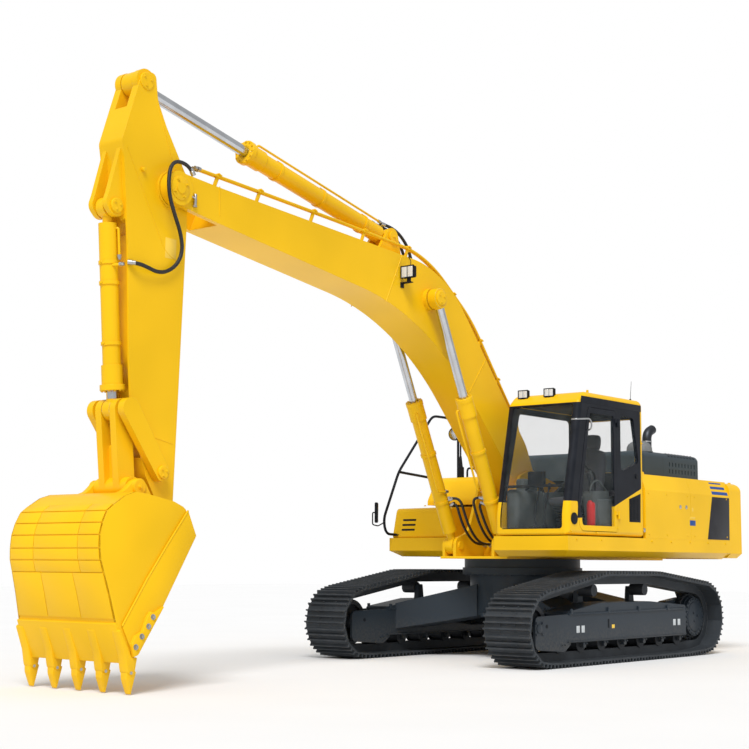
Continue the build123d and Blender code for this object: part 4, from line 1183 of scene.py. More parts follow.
@dataclass
class JackFittings:
    """Flanges, bolts, bands, painted rod eyes and oil pipes of the cylinders."""

    sizes: tuple[JackSize, ...] = (
        JackSize("boom", JACKS["boom"], 1.870, 0.086, (0.365, -0.365), (0.56, 1.18), (
            (((1.75, -0.054, 0.038), (1.75, -0.107, 0.075), (0.75, -0.107, 0.075),
              (0.70, 0.02, 0.107)), 0.03),
            (((0.615, 0.02, 0.06), (0.615, 0.02, 0.112), (0.60, 0.02, 0.112)), 0.01)), 0.018),
        JackSize("arm", JACKS["arm"], 2.350, 0.097, (0.0,), (0.42, 1.15, 1.85), (
            (((2.23, 0.062, 0.022), (2.23, 0.128, 0.045), (0.17, 0.128, 0.045)), 0.03),
            (((0.255, 0.062, -0.022), (0.255, 0.128, -0.045), (0.17, 0.128, -0.045)), 0.03))),
        JackSize("bucket", JACKS["bucket"], 1.696, 0.085, (0.0,), (0.50, 0.69, 1.25), (
            (((0.20, -0.025, 0.055), (0.20, -0.045, 0.098), (0.48, -0.045, 0.098)), 0.02),
            (((0.548, 0.03, 0.055), (0.548, 0.012, 0.122), (0.548, -0.014, 0.170)), 0.02))),
    )
    pipe: float = 0.013

    def eyes(self) -> None:
        """Paint each rod's eye: a thin sleeve over the eye and a short one over its neck."""
        ends = (("boom", BOOM_LINE.at(2.614, 1.099), 0.112, 0.055, 0.050, (0.365, -0.365)),
                ("arm", ARM_LINE.at(-0.983, 0.352), 0.112, 0.074, 0.057, (0.0,)),
                ("bucket", ARM_LINE.at(2.143, 0.484), 0.096, 0.050, 0.050, (0.0,)))
        for name, pin, radius, half, rod, places in ends:
            paint = Stock(f"{name}_rod_eye")
            back = (JACKS[name].pin - pin).normalized()
            for y in places:
                middle = Vector((pin.x, y, pin.z))
                paint.turning([(-half - 0.001, radius - 0.03), (-half - 0.001, radius - 0.002),
                               (-half + 0.005, radius + 0.003), (half - 0.005, radius + 0.003),
                               (half + 0.001, radius - 0.002), (half + 0.001, radius - 0.03)],
                              middle, (0, 1, 0), 48)
                paint.turning([(radius - 0.02, rod + 0.001), (radius - 0.02, rod + 0.016),
                               (radius + 0.003, rod + 0.012), (radius + 0.006, rod + 0.001)],
                              middle, back, 40)
            paint.piece(YELLOW, f"{name}_cylinder_rod", mend=True)

    def build(self) -> None:
        """Build the fittings of each kind of cylinder."""
        self.eyes()
        for size in self.sizes:
            steel, zinc = Stock(f"{size.body}_cylinder_flanges"), Stock(f"{size.body}_unions")
            for y in size.places:
                way = size.line.way(1, 0)
                start = size.line.at(0, 0, y)
                r = size.barrel
                f = r + size.flange
                steel.turning([(size.gland - 0.050, r), (size.gland - 0.050, f - 0.003),
                               (size.gland - 0.046, f), (size.gland + 0.001, f),
                               (size.gland + 0.005, f - 0.004), (size.gland + 0.005, r - 0.026)],
                              start, way, 48)
                steel.ring(start + way * (size.gland + 0.004), way, f - 0.017, 12, 0.022)
                for band in size.bands:
                    steel.turning([(band, r - 0.002), (band, r + 0.010), (band + 0.034, r + 0.010),
                                   (band + 0.034, r - 0.002)], start, way, 40)
                    lug = size.line.at(band + 0.017, r + 0.010, y)
                    steel.bolt(lug, size.line.way(0, 1), 0.024)
                inward = -1 if y > 0 else 1
                for run, bend in size.pipes:
                    points = [size.line.at(a, up, y + inward * across) for a, up, across in run]
                    steel.rod(points, self.pipe, bend)
                    tip = (points[-1] - points[-2]).normalized()
                    zinc.bar(points[-1] - tip * 0.03, points[-1] - tip * 0.002, 0.021, sides=6)
                    zinc.bar(points[-1] - tip * 0.002, points[-1] + tip * 0.016, 0.017, sides=12)
            steel.piece(YELLOW, f"{size.body}_cylinder_barrel", mend=True)
            zinc.piece(FITTING, f"{size.body}_cylinder_barrel")


@dataclass
class BucketShell:
    """The welded bucket: bent back, leaning sides, wear plates, cutters, ears and teeth."""

    half: float = 0.650
    wall: float = 0.028
    edge_thick: float = 0.014
    cutter_out: float = 0.040
    lean: float = math.radians(4.0)
    back: tuple[tuple[float, float], ...] = (
        (1.376, 0.145), (1.432, 0.152), (1.195, 0.440), (1.019, 0.602), (0.878, 0.743),
        (0.801, 0.821), (0.715, 0.876), (0.613, 0.925), (0.508, 0.947), (0.396, 0.949),
        (0.304, 0.905), (0.175, 0.830), (0.089, 0.744), (0.038, 0.622), (-0.010, 0.470),
        (-0.058, 0.322), (-0.070, 0.208), (-0.062, 0.168))
    front: tuple[tuple[float, float], ...] = (
        (0.095, -0.030), (0.125, -0.036), (0.843, 0.047), (1.376, 0.145))
    edge_plate: tuple[tuple[float, float], ...] = (
        (-0.062, 0.150), (0.095, -0.036), (0.843, 0.040), (1.376, 0.142), (1.200, 0.378),
        (0.704, 0.306), (0.308, 0.229))
    cutter: tuple[tuple[float, float], ...] = (
        (0.843, 0.047), (0.939, 0.115), (0.952, 0.165), (1.021, 0.180), (1.150, 0.171),
        (1.214, 0.227), (1.299, 0.232), (1.386, 0.164), (1.345, 0.128))
    ear: tuple[tuple[float, float], ...] = (
        (-0.120, -0.040), (-0.095, -0.085), (-0.040, -0.115), (0.030, -0.118), (0.090, -0.095),
        (0.150, -0.020), (0.310, 0.390), (0.120, 0.760), (0.060, 0.690), (0.010, 0.645),
        (-0.030, 0.625), (-0.120, 0.595), (-0.170, 0.560), (-0.190, 0.500), (-0.175, 0.440),
        (-0.080, 0.270), (-0.118, 0.060))
    lip: tuple[tuple[float, float], ...] = (
        (1.376, 0.146), (1.440, 0.150), (1.448, 0.168), (1.216, 0.450), (1.196, 0.434))
    lip_inside: tuple[tuple[float, float], ...] = ((1.382, 0.172), (1.400, 0.150))
    middle: tuple[float, float] = (0.62, 0.38)
    teeth: int = 5
    spread: float = 1.300

    def _beside(self, path: Sequence[Point], reach: float) -> list[tuple[float, float]]:
        """Return a path moved off its bucket's middle by a reach, or towards it if negative."""
        moved = []
        for i, place in enumerate(path):
            here = Vector(place)
            way = (Vector(path[min(i + 1, len(path) - 1)])
                   - Vector(path[max(i - 1, 0)])).normalized()
            out = Vector((way.y, -way.x))
            if out.dot(here - Vector(self.middle)) < 0:
                out = -out
            moved.append(tuple(here + out * reach))
        return moved

    def _lean(self, stock: Stock) -> None:
        """Move a piece's sides out to the leaning sides' planes."""
        line = BUCKET_LINE
        c, s = math.cos(line.angle), math.sin(line.angle)
        for vert in stock.mesh.verts:
            x, z = vert.co.x - line.pin.x, vert.co.z - line.pin.z
            along, up = x * c + z * s, z * c - x * s
            out = ((along - 0.7) - (up - 0.2)) * math.sqrt(0.5) * math.tan(self.lean)
            vert.co.y += out * math.copysign(min(1.0, abs(vert.co.y) / self.half), vert.co.y)

    def shell(self) -> None:
        """Build the back, the sides, the edge plates and the side cutters."""
        shell = Stock("bucket_shell")
        inside = [*self.lip_inside, *self._beside(self.back, -self.wall)[2:]]
        shell.slab([*self.back, *reversed(inside)], BUCKET_LINE, -self.half + 0.004,
                   self.half - 0.004)
        shell.slab(self.lip, BUCKET_LINE, -self.half + 0.002, self.half - 0.002, 0.006, 3)
        outline = [*self.back, *self.front]
        for side in Side:
            for plate, near, far, edge in (
                    (outline[1:-1] + [self.back[0]], -self.wall, 0.0, 0.003),
                    (self.edge_plate, 0.0, self.edge_thick, 0.003),
                    (self.cutter, 0.002, self.cutter_out, 0.005)):
                shell.slab(plate, BUCKET_LINE, *side.span(self.half + near, self.half + far), edge)
        for side in Side:
            shell.rod([BUCKET_LINE.at(a, b, side * (self.half + 0.011)) for a, b in
                       (self.edge_plate[0], self.edge_plate[6], self.edge_plate[5],
                        self.edge_plate[4])], 0.009, 0, 8)
        self._lean(shell)
        for side in Side:
            shell.slab(self.ear, BUCKET_LINE, *side.span(0.222, 0.290), 0.006)
            out = side.out
            for place in ((0.0, 0.0), (-0.106, 0.516)):
                shell.cap(BUCKET_LINE.at(*place, side * 0.292), out, 0.075, 0.022,
                          (0.006, 0.009))
                shell.bolt(BUCKET_LINE.at(*place, side * 0.314), out, 0.036)
        made = shell.piece(BUCKET_YELLOW, "bucket", 25, mend=True)
        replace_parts(made, "bucket")
        bolts = Stock("side_cutter_bolts")
        for side in Side:
            for along, up in ((0.985, 0.125), (1.08, 0.135), (1.19, 0.165), (1.30, 0.185)):
                bolts.bolt(BUCKET_LINE.at(along, up, side * (self.half + 0.038)),
                           side.out, 0.036)
        self._lean(bolts)
        bolts.piece(FITTING, "bucket")

    def wear_plates(self) -> None:
        """Weld the wear plates in rows across the back."""
        plates = Stock("bucket_wear_plates")
        gap, thick = 0.007, 0.010
        upper, lower = (-1.0, -0.46, 0.54, 1.0), (-1.0, -0.35, 0.35, 1.0)
        rows = ((2, 4, lower), (4, 5, upper), (5, 6, upper), (6, 7, upper), (7, 8, upper),
                (8, 9, upper), (9, 10, upper))
        reach = self.half - 0.02
        for start, end, columns in rows:
            path = [Vector(p) for p in self.back[start:end + 1]]
            if start == 2:
                path[0] = path[0].lerp(path[1], 0.03 / (path[1] - path[0]).length)
            path[-1] = path[-1].lerp(path[-2], gap / (path[-2] - path[-1]).length)
            outline = [*map(tuple, path), *reversed(self._beside(path, thick))]
            for near, far in zip(columns, columns[1:]):
                plates.slab(outline, BUCKET_LINE, near * reach + gap / 2, far * reach - gap / 2,
                            0.002)
        self._lean(plates)
        plates.piece(BUCKET_YELLOW, "bucket", 25)

    def points(self) -> None:
        """Build the teeth's adapters, their points and their lock pins."""
        adapters, points, pins = (Stock("tooth_adapters"), Stock("tooth_points"),
                                  Stock("tooth_pins"))
        for i in range(self.teeth):
            y = -self.spread / 2 + i * self.spread / (self.teeth - 1)
            adapters.slab([(1.36, 0.108), (1.50, 0.064), (1.522, 0.075), (1.522, 0.145),
                           (1.495, 0.168), (1.405, 0.240), (1.262, 0.402), (1.236, 0.400),
                           (1.385, 0.165)], BUCKET_LINE, y - 0.052, y + 0.052, 0.010)
            before = set(points.mesh.verts)
            points.slab([(1.470, 0.056), (1.655, 0.002), (1.660, 0.012), (1.648, 0.028),
                         (1.570, 0.115), (1.470, 0.170)], BUCKET_LINE, y - 0.047, y + 0.047,
                        0.008)
            for vert in (v for v in points.mesh.verts if v not in before):
                along = (vert.co - BUCKET_LINE.pin).dot(BUCKET_LINE.way(1, 0))
                vert.co.y = y + (vert.co.y - y) * (1.0 - 0.36 * max(0.0, (along - 1.50) / 0.16))
            for side in Side:
                pins.bar(BUCKET_LINE.at(1.505, 0.108, y + side * 0.045),
                         BUCKET_LINE.at(1.505, 0.108, y + side * 0.055), 0.014, sides=12)
        for stock in (adapters, points):
            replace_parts(stock.piece(BUCKET_YELLOW, "bucket"), "bucket_teeth")
        pins.piece(FITTING, "bucket")

    def build(self) -> None:
        """Build the whole bucket."""
        self.shell()
        self.wear_plates()
        self.points()


# ---------------------------------------------------------------- upper structure
@dataclass
class HouseFittings:
    """Rails, mirrors, vents, the air cleaner, marks and bolts of the upper structure."""

    side: float = 1.4955
    rail_y: float = -1.45
    rail: float = 0.017
    hood_top: float = 2.60
    chamfer: float = 2.04
    chamfer_top: float = 2.235
    chamfer_in: float = 0.062
    bar_end: float = -2.258

    def rails(self) -> None:
        """Bend the long handrail and its crossbar."""
        y = self.rail_y
        rail = Stock("handrail")
        rail.rod([(0.69, y, 1.492), (0.925, y, 1.498), (0.975, y, 1.68), (0.665, y, 2.30),
                  (-0.06, y, 3.08), (-0.43, y, 3.08), (-0.64, y, 2.90), (-0.64, y, 2.26)],
                 self.rail, 0.09, 16)
        rail.rod([(0.665, y, 2.298), (-0.24, y, 2.24)], self.rail, 0, 16)
        rail.rod([(-1.15, y + 0.08, 2.28), (-1.15, y + 0.08, 2.42), (-0.74, y + 0.08, 2.42),
                  (-0.74, y + 0.08, 2.27)], 0.014, 0.06, 12)
        for x, z in ((0.72, 1.492), (-0.64, 2.262)):
            rail.block((x - 0.05, y - 0.045, z - 0.012), (x + 0.05, y + 0.045, z + 0.004), 0.003)
        rail.piece(CAB_DARK, "house", 60)

    def mirrors(self) -> None:
        """Set the round mirror on the tank and the upright one before the handrail."""
        shells, glass = Stock("mirror_shells"), Stock("mirror_glass")
        x, y, z = -0.35, -1.20, 2.84
        shells.turning([(-0.1, 0.0), (-0.1, 0.046), (0.1, 0.046), (0.11, 0.03), (0.25, 0.014),
                        (0.25, 0.0)], (x, y, 2.30), (0, 0, 1), 28)
        shells.rod([(x, y, 2.5), (x, y, z - 0.06), (x + 0.11, y, z)], 0.011, 0.05)
        way = Vector((-0.55, -0.80, 0.10)).normalized()
        centre = Vector((x + 0.13, y, z))
        shells.turning([(-0.035, 0.0), (-0.032, 0.05), (-0.012, 0.083), (0.0, 0.09),
                        (0.004, 0.088), (0.001, 0.080)], centre, -way, 36)
        glass.turning([(0.0, 0.0), (0.001, 0.05), (-0.002, 0.081)], centre, -way, 36)
        place = (Matrix.Translation(Vector((1.11, self.rail_y, 1.762)))
                 @ facing((-0.62, 0.78, 0), (0, 0, 1)))
        shells.block((-0.085, -0.127, -0.028), (0.085, 0.127, 0.016), 0.014, 3, place)
        glass.block((-0.074, -0.115, 0.013), (0.074, 0.115, 0.019), 0.003, 2, place)
        y = self.rail_y
        shells.rod([(1.15, y, 1.762), (1.195, y, 1.762), (1.195, y, 1.61), (1.085, y, 1.595),
                    (0.968, y, 1.64)], 0.008, 0.025)
        shells.piece(BLACK, "house", mend=True)
        glass.piece(MIRROR, "house", mend=True)

    def air_cleaner(self) -> None:
        """Set the wire dome on the hood, and the top row of slots along its edges as black blocks
        that paint the shade inside them.
        """
        dome = Stock("intake_dome")
        dome.turning([(0.0, 0.176), (0.012, 0.176), (0.014, 0.168), (0.06, 0.164), (0.10, 0.144),
                      (0.128, 0.108), (0.146, 0.060), (0.150, 0.0)],
                     (-1.60, 0.79, self.hood_top - 0.002), (0, 0, 1), 48)
        dome.piece(WIRE, "house", 50, mend=True)
        # painted shade: each slot is a black block standing for the shade inside it
        slots = Stock("hood_top_slot_shade")
        round_y, round_z, reach = 0.92, 2.52, 0.0795  # the hood's rounded edge and its radius
        for side in Side:
            way = Vector((0, side * 0.62, 0.78)).normalized()
            for i in range(9):
                middle = Vector((-2.731 + i * 0.088, side * round_y, round_z)) + way * reach
                place = Matrix.Translation(middle) @ facing(way, (1, 0, 0))
                slots.block((-0.038, -0.015, -0.006), (0.038, 0.015, 0.0018), 0.003, 2, place)
        slots.piece(BLACK, "house")
        ring = Stock("exhaust_ring")
        ring.bar((-2.08, 0.64, 2.765), (-2.08, 0.64, 2.782), 0.0665, sides=36, edge=0.004)
        ring.piece(FITTING, "house")

    def marks(self) -> None:
        """Lay the rear panel's dark field, its blue bars and the blank plates."""
        rise, inset = self.chamfer_top - self.chamfer, self.chamfer_in
        for side in Side:
            near = side * self.side
            dark = Stock(f"dark_field_{side.tag}")
            dark.slab([(-2.100, 1.462), (-2.733, 1.462), (-2.745, 2.020), (-2.246, 2.020)],
                      SIDE, *side.span(self.side, self.side + 0.0015), 0.0005)
            dark.piece(FIELD, "house")
            bars = Stock(f"blue_bars_{side.tag}")
            for z_low, z_high, x_low in ((2.052, 2.094, -2.719), (2.126, 2.160, -2.670),
                                         (2.194, 2.212, -2.600)):
                y_low = self.side - inset * (z_low - self.chamfer) / rise
                middle = Vector(((x_low + self.bar_end) / 2, side * y_low, z_low))
                place = Matrix.Translation(middle) @ facing((0, side * rise, inset), (0, 0, 1))
                half = (self.bar_end - x_low) / 2
                bars.block((-half, 0.0, -0.001), (half, (z_high - z_low) * 1.05, 0.0016), 0.0005,
                           1, place)
            bars.piece(BLUE, "house")
            plates = Stock(f"blank_plates_{side.tag}")
            plates.block((-1.765, near - 0.0015, 1.630), (-1.612, near + 0.0015, 1.698), 0.0005)
            plates.piece(BLUE, "house")
            pale = Stock(f"pale_plates_{side.tag}")
            pale.block((-1.755, near - 0.0013, 1.718), (-1.614, near + 0.0013, 1.742), 0.0005)
            pale.bar((-1.69, near - side * 0.0005, 1.835), (-1.69, near + side * 0.0013, 1.835),
                     0.026, sides=28)
            pale.piece(PLATE, "house")

    def hardware(self) -> None:
        """Fit latches, hinges, lifting eyes, bolts and the tool box's vents, whose slits are black
        blocks that paint the shade in them.
        """
        zinc, black, steel = Stock("panel_latches"), Stock("box_vent_shade"), Stock("house_bolts")
        for side in Side:
            y = side * self.side
            for x, z in ((-0.42, 1.548), (-1.52, 1.86), (-1.36, 1.86)):
                zinc.cap((x, y, z), side.out, 0.026, 0.007, (0.003, 0.006), 24, 0.002)
            for x in (-0.54, -1.00, -1.55, -1.74, -2.66):
                for z in (1.50, 2.00):
                    steel.bolt((x, y, z), side.out, 0.014)
            for x in (-2.60, -2.10, -1.60, -1.10, -0.60, 0.60, 1.15):
                if side < 0 and x > 0.7:
                    continue
                steel.bolt((x, side * 1.4975, 1.415), side.out, 0.022)
            for y_at in (0.55, 1.35):
                steel.bolt((-3.30 if y_at < 1 else -3.06, side * y_at, 2.223), (0, 0, 1), 0.04)
        # painted shade: three black blocks stand for the shade in the tool box's vent slits
        for i in range(3):
            z = 1.552 + i * 0.062
            x = 0.73 - (z - 1.45) * 0.24
            black.block((x - 0.01, -1.367, z - 0.014), (x + 0.004, -1.157, z + 0.014), 0.006)
        for x, y in ((-0.66, 1.30), (-0.66, -1.05), (0.30, -1.30), (0.30, -0.80)):
            z = 2.236 if x < 0 else 1.866
            steel.bolt((x, y, z), (0, 0, 1), 0.024)
        lug = Stock("roof_lugs")
        for x, y in ((-0.66, 1.18), (-0.62, 1.36)):
            lug.turning([(-0.01, 0.0), (-0.01, 0.032), (0.02, 0.03), (0.035, 0.02), (0.04, 0.0)],
                        (x, y, 2.236), (0, 0, 1), 20)
        lug.piece(YELLOW, "house", mend=True)
        zinc.piece(FITTING, "house", mend=True)
        black.piece(BLACK, "house")
        steel.piece(YELLOW, "house")

    def bulkhead(self) -> None:
        """Stand the bulkhead that takes the boom cylinders' hoses."""
        plate, nuts = Stock("hose_bulkhead"), Stock("bulkhead_unions")
        plate.block((0.538, -0.202, 1.22), (0.552, 0.202, 1.393), 0.004)
        for y in (-0.167, -0.084, 0.084, 0.167):
            for start, end, radius, sides in ((0.550, 0.572, 0.026, 6),
                                              (0.572, 0.598, 0.020, 16)):
                nuts.bar((start, y, 1.353), (end, y, 1.353), radius, sides=sides)
        plate.piece(YELLOW, "house")
        nuts.piece(FITTING, "house")

    def build(self) -> None:
        """Build all of the upper structure's fittings."""
        self.rails()
        self.mirrors()
        self.air_cleaner()
        self.marks()
        self.hardware()
        self.bulkhead()


@dataclass
class CabFittings:
    """Screen, lamps, handles, grille and what shows inside the cab."""

    inner: float = 0.500
    outer: float = 1.4975
    screen: tuple[tuple[float, float], ...] = (
        (1.0443, 2.975), (1.2328, 2.10), (1.3086, 1.748), (1.3165, 1.70), (1.3205, 1.65),
        (1.321, 1.53))
    inset: float = 0.079
    floor: float = 1.51
    lamp_x: float = 0.97
    lamp_z: float = 3.135

    def glazing(self) -> None:
        """Glaze the front and set the bar across it."""
        screen = Stock("windscreen")
        inner = [(x - 0.006, z) for x, z in reversed(self.screen)]
        screen.slab([*self.screen, *inner], SIDE, self.inner + self.inset, self.outer - self.inset)
        screen.piece(GLASS, "house", 60)
        bar = Stock("screen_bar")
        bar.block((1.212, self.inner + 0.06, 2.008), (1.236, self.outer - 0.06, 2.042), 0.004)
        seal = [(x + 0.003, z) for x, z in self.screen]
        sides = (self.inner + self.inset, self.outer - self.inset)
        for y in sides:
            bar.rod([(x, y, z) for x, z in seal], 0.009, 0.05, 8)
        for x, z in (seal[0], seal[-1]):
            bar.rod([(x, y, z) for y in sides], 0.009, 0, 8)
        bar.piece(SEAL, "house")

    def header(self) -> None:
        """Line the roof inside and darken its lower edge above the screens."""
        dark = Stock("cab_header")
        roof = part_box("cab_roof")[0].z
        dark.block((-0.40, self.inner + 0.05, roof + 0.004),
                   (0.98, self.outer - 0.05, roof + 0.030), 0.004)
        for low, high in ((2.905, roof + 0.004), (1.98, 2.255)):
            dark.block((-0.382, self.inner + 0.05, low), (-0.370, self.outer - 0.05, high), 0.003)
        dark.slab([(-0.375, roof - 0.003), (1.035, roof - 0.003), (1.020, roof + 0.075),
                   (-0.375, roof + 0.075)], SIDE, self.outer, self.outer + 0.002, 0.001)
        dark.piece(CAB_DARK, "house")

    def lamps(self) -> None:
        """Fix the two roof lamps on their bar."""
        shells, glass = Stock("roof_lamp_shells"), Stock("roof_lamp_lenses")
        x, z = self.lamp_x, self.lamp_z
        shells.block((x - 0.075, self.inner + 0.10, 3.060), (x - 0.030, self.outer - 0.20, 3.105),
                     0.005)
        for y in (0.665, 1.015):
            shells.block((x - 0.075, y - 0.035, 3.03), (x + 0.01, y + 0.035, 3.098), 0.005)
        for y in (0.668, 1.030):
            shells.block((x - 0.062, y - 0.014, 3.09), (x - 0.040, y + 0.014, z + 0.01), 0.004)
            shells.block((x - 0.045, y - 0.069, z - 0.049), (x + 0.004, y + 0.069, z + 0.049),
                         0.012, 3)
            shells.bezel((x - 0.004, y, z), (0.016, 0.070, 0.051), 0.010, 0.001, 0.003)
            for low, high in ((-0.058, -0.003), (0.003, 0.058)):
                glass.block((x, y + low, z - 0.040), (x + 0.009, y + high, z + 0.040), 0.003)
        shells.piece(BLACK, "house")
        glass.piece(LENS, "house")

    def outside(self) -> None:
        """Fit the grille, the handles, the antenna, the corner cap and the lock."""
        grille = Stock("cab_side_grille")
        y = self.outer
        grille.slab([(-0.055, 1.638), (-0.055, 1.910), (-0.335, 1.985), (-0.325, 1.638)], SIDE,
                    y - 0.004, y + 0.003, 0.0015)
        for column in range(3):
            for row in range(11):
                x, z = -0.105 - column * 0.082, 1.672 + row * 0.024
                grille.block((x - 0.028, y + 0.001, z - 0.005), (x + 0.028, y + 0.009, z + 0.004),
                             0.002)
        grille.bar((1.203, y - 0.004, 1.647), (1.203, y + 0.012, 1.647), 0.068, sides=36,
                   edge=0.006)
        grille.bar((-0.24, y - 0.004, 2.191), (-0.24, y + 0.010, 2.191), 0.030, sides=24,
                   edge=0.003)
        grille.piece(BLACK, "house")
        rail = Stock("cab_grab_handle")
        rail.rod([(1.215, y - 0.01, 2.775), (1.215, y + 0.055, 2.775), (0.93, y + 0.055, 2.800),
                  (0.885, y + 0.055, 2.76), (0.89, y + 0.055, 2.68), (0.89, y - 0.01, 2.67)],
                 0.010, 0.035, 12)
        rail.piece(FITTING, "house", 60)
        small = Stock("cab_roof_nub")
        small.turning([(-0.02, 0.0), (-0.02, 0.022), (0.035, 0.016), (0.06, 0.014), (0.06, 0.0)],
                      (0.55, 1.30, 3.125), (0, 0, 1), 20)
        small.piece(YELLOW, "house", mend=True)
        aerial = Stock("cab_aerial")
        aerial.bar((-0.33, 1.38, 3.11), (-0.33, 1.38, 3.15), 0.012, edge=0.002)
        aerial.bar((-0.33, 1.38, 3.14), (-0.36, 1.38, 3.37), 0.0035, 0.002, 8)
        aerial.piece(BLACK, "house")
        bolts = Stock("cab_bolts")
        for x, z in ((0.226, 1.56), (-0.378, 1.547), (-0.378, 2.60), (1.26, 1.50), (0.70, 1.495)):
            bolts.bolt((x, y, z), (0, 1, 0), 0.018)
        bolts.piece(YELLOW, "house")
        handle = Stock("door_handle")
        handle.block((0.315, y + 0.002, 1.93), (0.42, y + 0.012, 2.00), 0.006)
        handle.rod([(0.335, y, 1.965), (0.335, y + 0.035, 1.965), (0.40, y + 0.035, 1.965),
                    (0.40, y, 1.965)], 0.007, 0.015, 8)
        handle.piece(BLACK, "cab_door")

    def inside(self) -> None:
        """Furnish the cab: consoles, monitor, levers, pedals, box and extinguisher."""
        grey, dark, floor = Stock("cab_mouldings"), Stock("cab_controls"), self.floor
        grey.block((0.62, 0.56, floor), (1.20, 0.74, 2.00), 0.05, 4)
        grey.block((0.70, 0.58, 1.98), (1.02, 0.70, 2.13), 0.03, 3)
        grey.block((-0.32, 0.60, floor), (0.02, 1.38, 1.98), 0.04, 3)
        grey.block((0.10, 1.29, floor), (0.52, 1.43, 1.90), 0.03, 3)
        dark.block((-0.38, 0.56, floor - 0.001), (1.26, 1.44, floor + 0.012), 0.004)
        dark.block((0.97, 0.76, 2.03), (1.03, 0.98, 2.21), 0.012, 3)
        dark.rod([(1.0, 0.70, 1.98), (1.0, 0.80, 2.06)], 0.014, 0)
        for y in (0.93, 1.06):
            dark.rod([(1.12, y, floor), (1.14, y, 1.72), (1.03, y, 2.02)], 0.010, 0.06)
            dark.turning([(0.0, 0.0), (0.0, 0.016), (0.04, 0.022), (0.07, 0.014), (0.075, 0.0)],
                         (1.035, y, 2.0), (-0.3, 0, 1), 16)
            dark.block((1.02, y - 0.05, floor + 0.03), (1.20, y + 0.05, floor + 0.05), 0.008)
            dark.turning([(0.0, 0.05), (0.03, 0.042), (0.035, 0.034), (0.06, 0.03), (0.065, 0.018),
                          (0.09, 0.014)], (1.12, y, floor + 0.01), (0, 0, 1), 20)
        for y in (0.665, 1.335):
            dark.turning([(0.0, 0.045), (0.02, 0.038), (0.025, 0.030), (0.05, 0.024),
                          (0.06, 0.012), (0.14, 0.011), (0.15, 0.024), (0.20, 0.028),
                          (0.235, 0.018), (0.24, 0.0)], (0.56, y, 1.965), (0.2, 0, 1), 20)
        dark.rod([(0.30, 1.24, 2.0), (0.30, 1.24, 2.2), (0.50, 1.24, 2.28)], 0.012, 0.06)
        grey.piece(CONSOLE, "house")
        dark.piece(BLACK, "house", mend=True)
        red = Stock("extinguisher")
        red.turning([(0.0, 0.0), (0.0, 0.045), (0.01, 0.05), (0.30, 0.05), (0.34, 0.03),
                     (0.35, 0.015), (0.37, 0.015), (0.37, 0.0)], (0.60, 1.36, floor + 0.02),
                    (0, 0, 1), 28)
        red.piece(RED, "house", mend=True)
        guide = Stock("switch_guides")
        guide.rod([(0.21, 1.36, 1.98), (0.45, 1.36, 2.13), (0.60, 1.36, 2.06), (0.62, 1.36, 1.93)],
                  0.012, 0.08)
        guide.piece(CONSOLE, "house", 60)

    def build(self) -> None:
        """Build all of the cab's fittings."""
        self.glazing()
        self.header()
        self.lamps()
        self.outside()
        self.inside()


@dataclass
class Seat:
    """The driver's seat: padded cushions with sewn channels on a sprung stand."""

    middle: float = 0.99875
    floor: float = 1.5083

    def _pad(self, name: str, low: Point, high: Point, lean: float, crown: float,
             channels: Sequence[float]) -> bpy.types.Object:
        """Make a padded piece: a crowned block with its sides pulled in and sewn channels.

        Args:
            name: the piece's name.
            low: its lowest corner, before it leans.
            high: its highest corner.
            lean: how far it leans back, in degrees about its low front edge.
            crown: how far its faces swell.
            channels: places across the pad, from -1 to 1, of its sewn lines.

        Returns:
            The piece.
        """
        stock = Stock(name)
        mesh = stock.mesh
        bmesh.ops.create_cube(mesh, size=2.0)
        bmesh.ops.subdivide_edges(mesh, edges=mesh.edges[:], cuts=15, use_grid_fill=True)
        half = (Vector(high) - Vector(low)) / 2
        centre = (Vector(high) + Vector(low)) / 2
        for vert in mesh.verts:
            x, y, z = vert.co
            swell = [(1 - abs(a) ** 2.5) * (1 - abs(b) ** 2.5)
                     for a, b in ((y, z), (x, z), (x, y))]
            pulled = 1 - 0.05 * (abs(x * y) ** 3 + abs(y * z) ** 3 + abs(x * z) ** 3)
            place = Vector((x * half.x, y * half.y, z * half.z)) * pulled
            place += Vector((x * swell[0], y * swell[1], z * swell[2])) * crown * 0.5
            seam = max((math.exp(-((y - c) / 0.035) ** 2) for c in channels), default=0.0)
            place -= Vector((x * swell[0], 0, z * swell[2])) * seam * crown * 0.5
            rim = math.exp(-((abs(z) - 0.55) / 0.06) ** 2) if abs(x) > 0.99 or abs(y) > 0.99 else 0
            place *= 1 - 0.015 * rim
            vert.co = place + centre
        turn = (Matrix.Translation(Vector(low)) @ Matrix.Rotation(math.radians(lean), 4, "Y")
                @ Matrix.Translation(-Vector(low)))
        bmesh.ops.transform(mesh, matrix=turn, verts=mesh.verts[:])
        bmesh.ops.smooth_vert(mesh, verts=mesh.verts[:], factor=0.4, use_axis_x=True,
                              use_axis_y=True, use_axis_z=True)
        made = stock.piece(CLOTH, "house", 80)
        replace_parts(made, "seat")
        return made

    def build(self) -> None:
        """Make the cushion, the back, the head rest and the stand."""
        m, f = self.middle, self.floor
        self._pad("seat_cushion", (0.09, m - 0.245, f + 0.305), (0.60, m + 0.245, f + 0.415), 0,
                  0.03, (-0.55, 0.55))
        self._pad("seat_back", (0.07, m - 0.225, f + 0.42), (0.185, m + 0.225, f + 0.99), -10,
                  0.035, (-0.55, 0.55))
        self._pad("seat_head_rest", (-0.035, m - 0.13, f + 1.00), (0.045, m + 0.13, f + 1.18), -7,
                  0.02, ())
        stand = Stock("seat_stand")
        stand.block((0.13, m - 0.20, f), (0.52, m + 0.20, f + 0.06), 0.01)
        for i in range(6):
            z = f + 0.07 + i * 0.033
            stand.block((0.15 + 0.012 * (i % 2), m - 0.19, z), (0.50 - 0.012 * (i % 2),
                        m + 0.19, z + 0.024), 0.010, 3)
        stand.block((0.13, m - 0.21, f + 0.265), (0.53, m + 0.21, f + 0.30), 0.008)
        stand.piece(BLACK, "house")


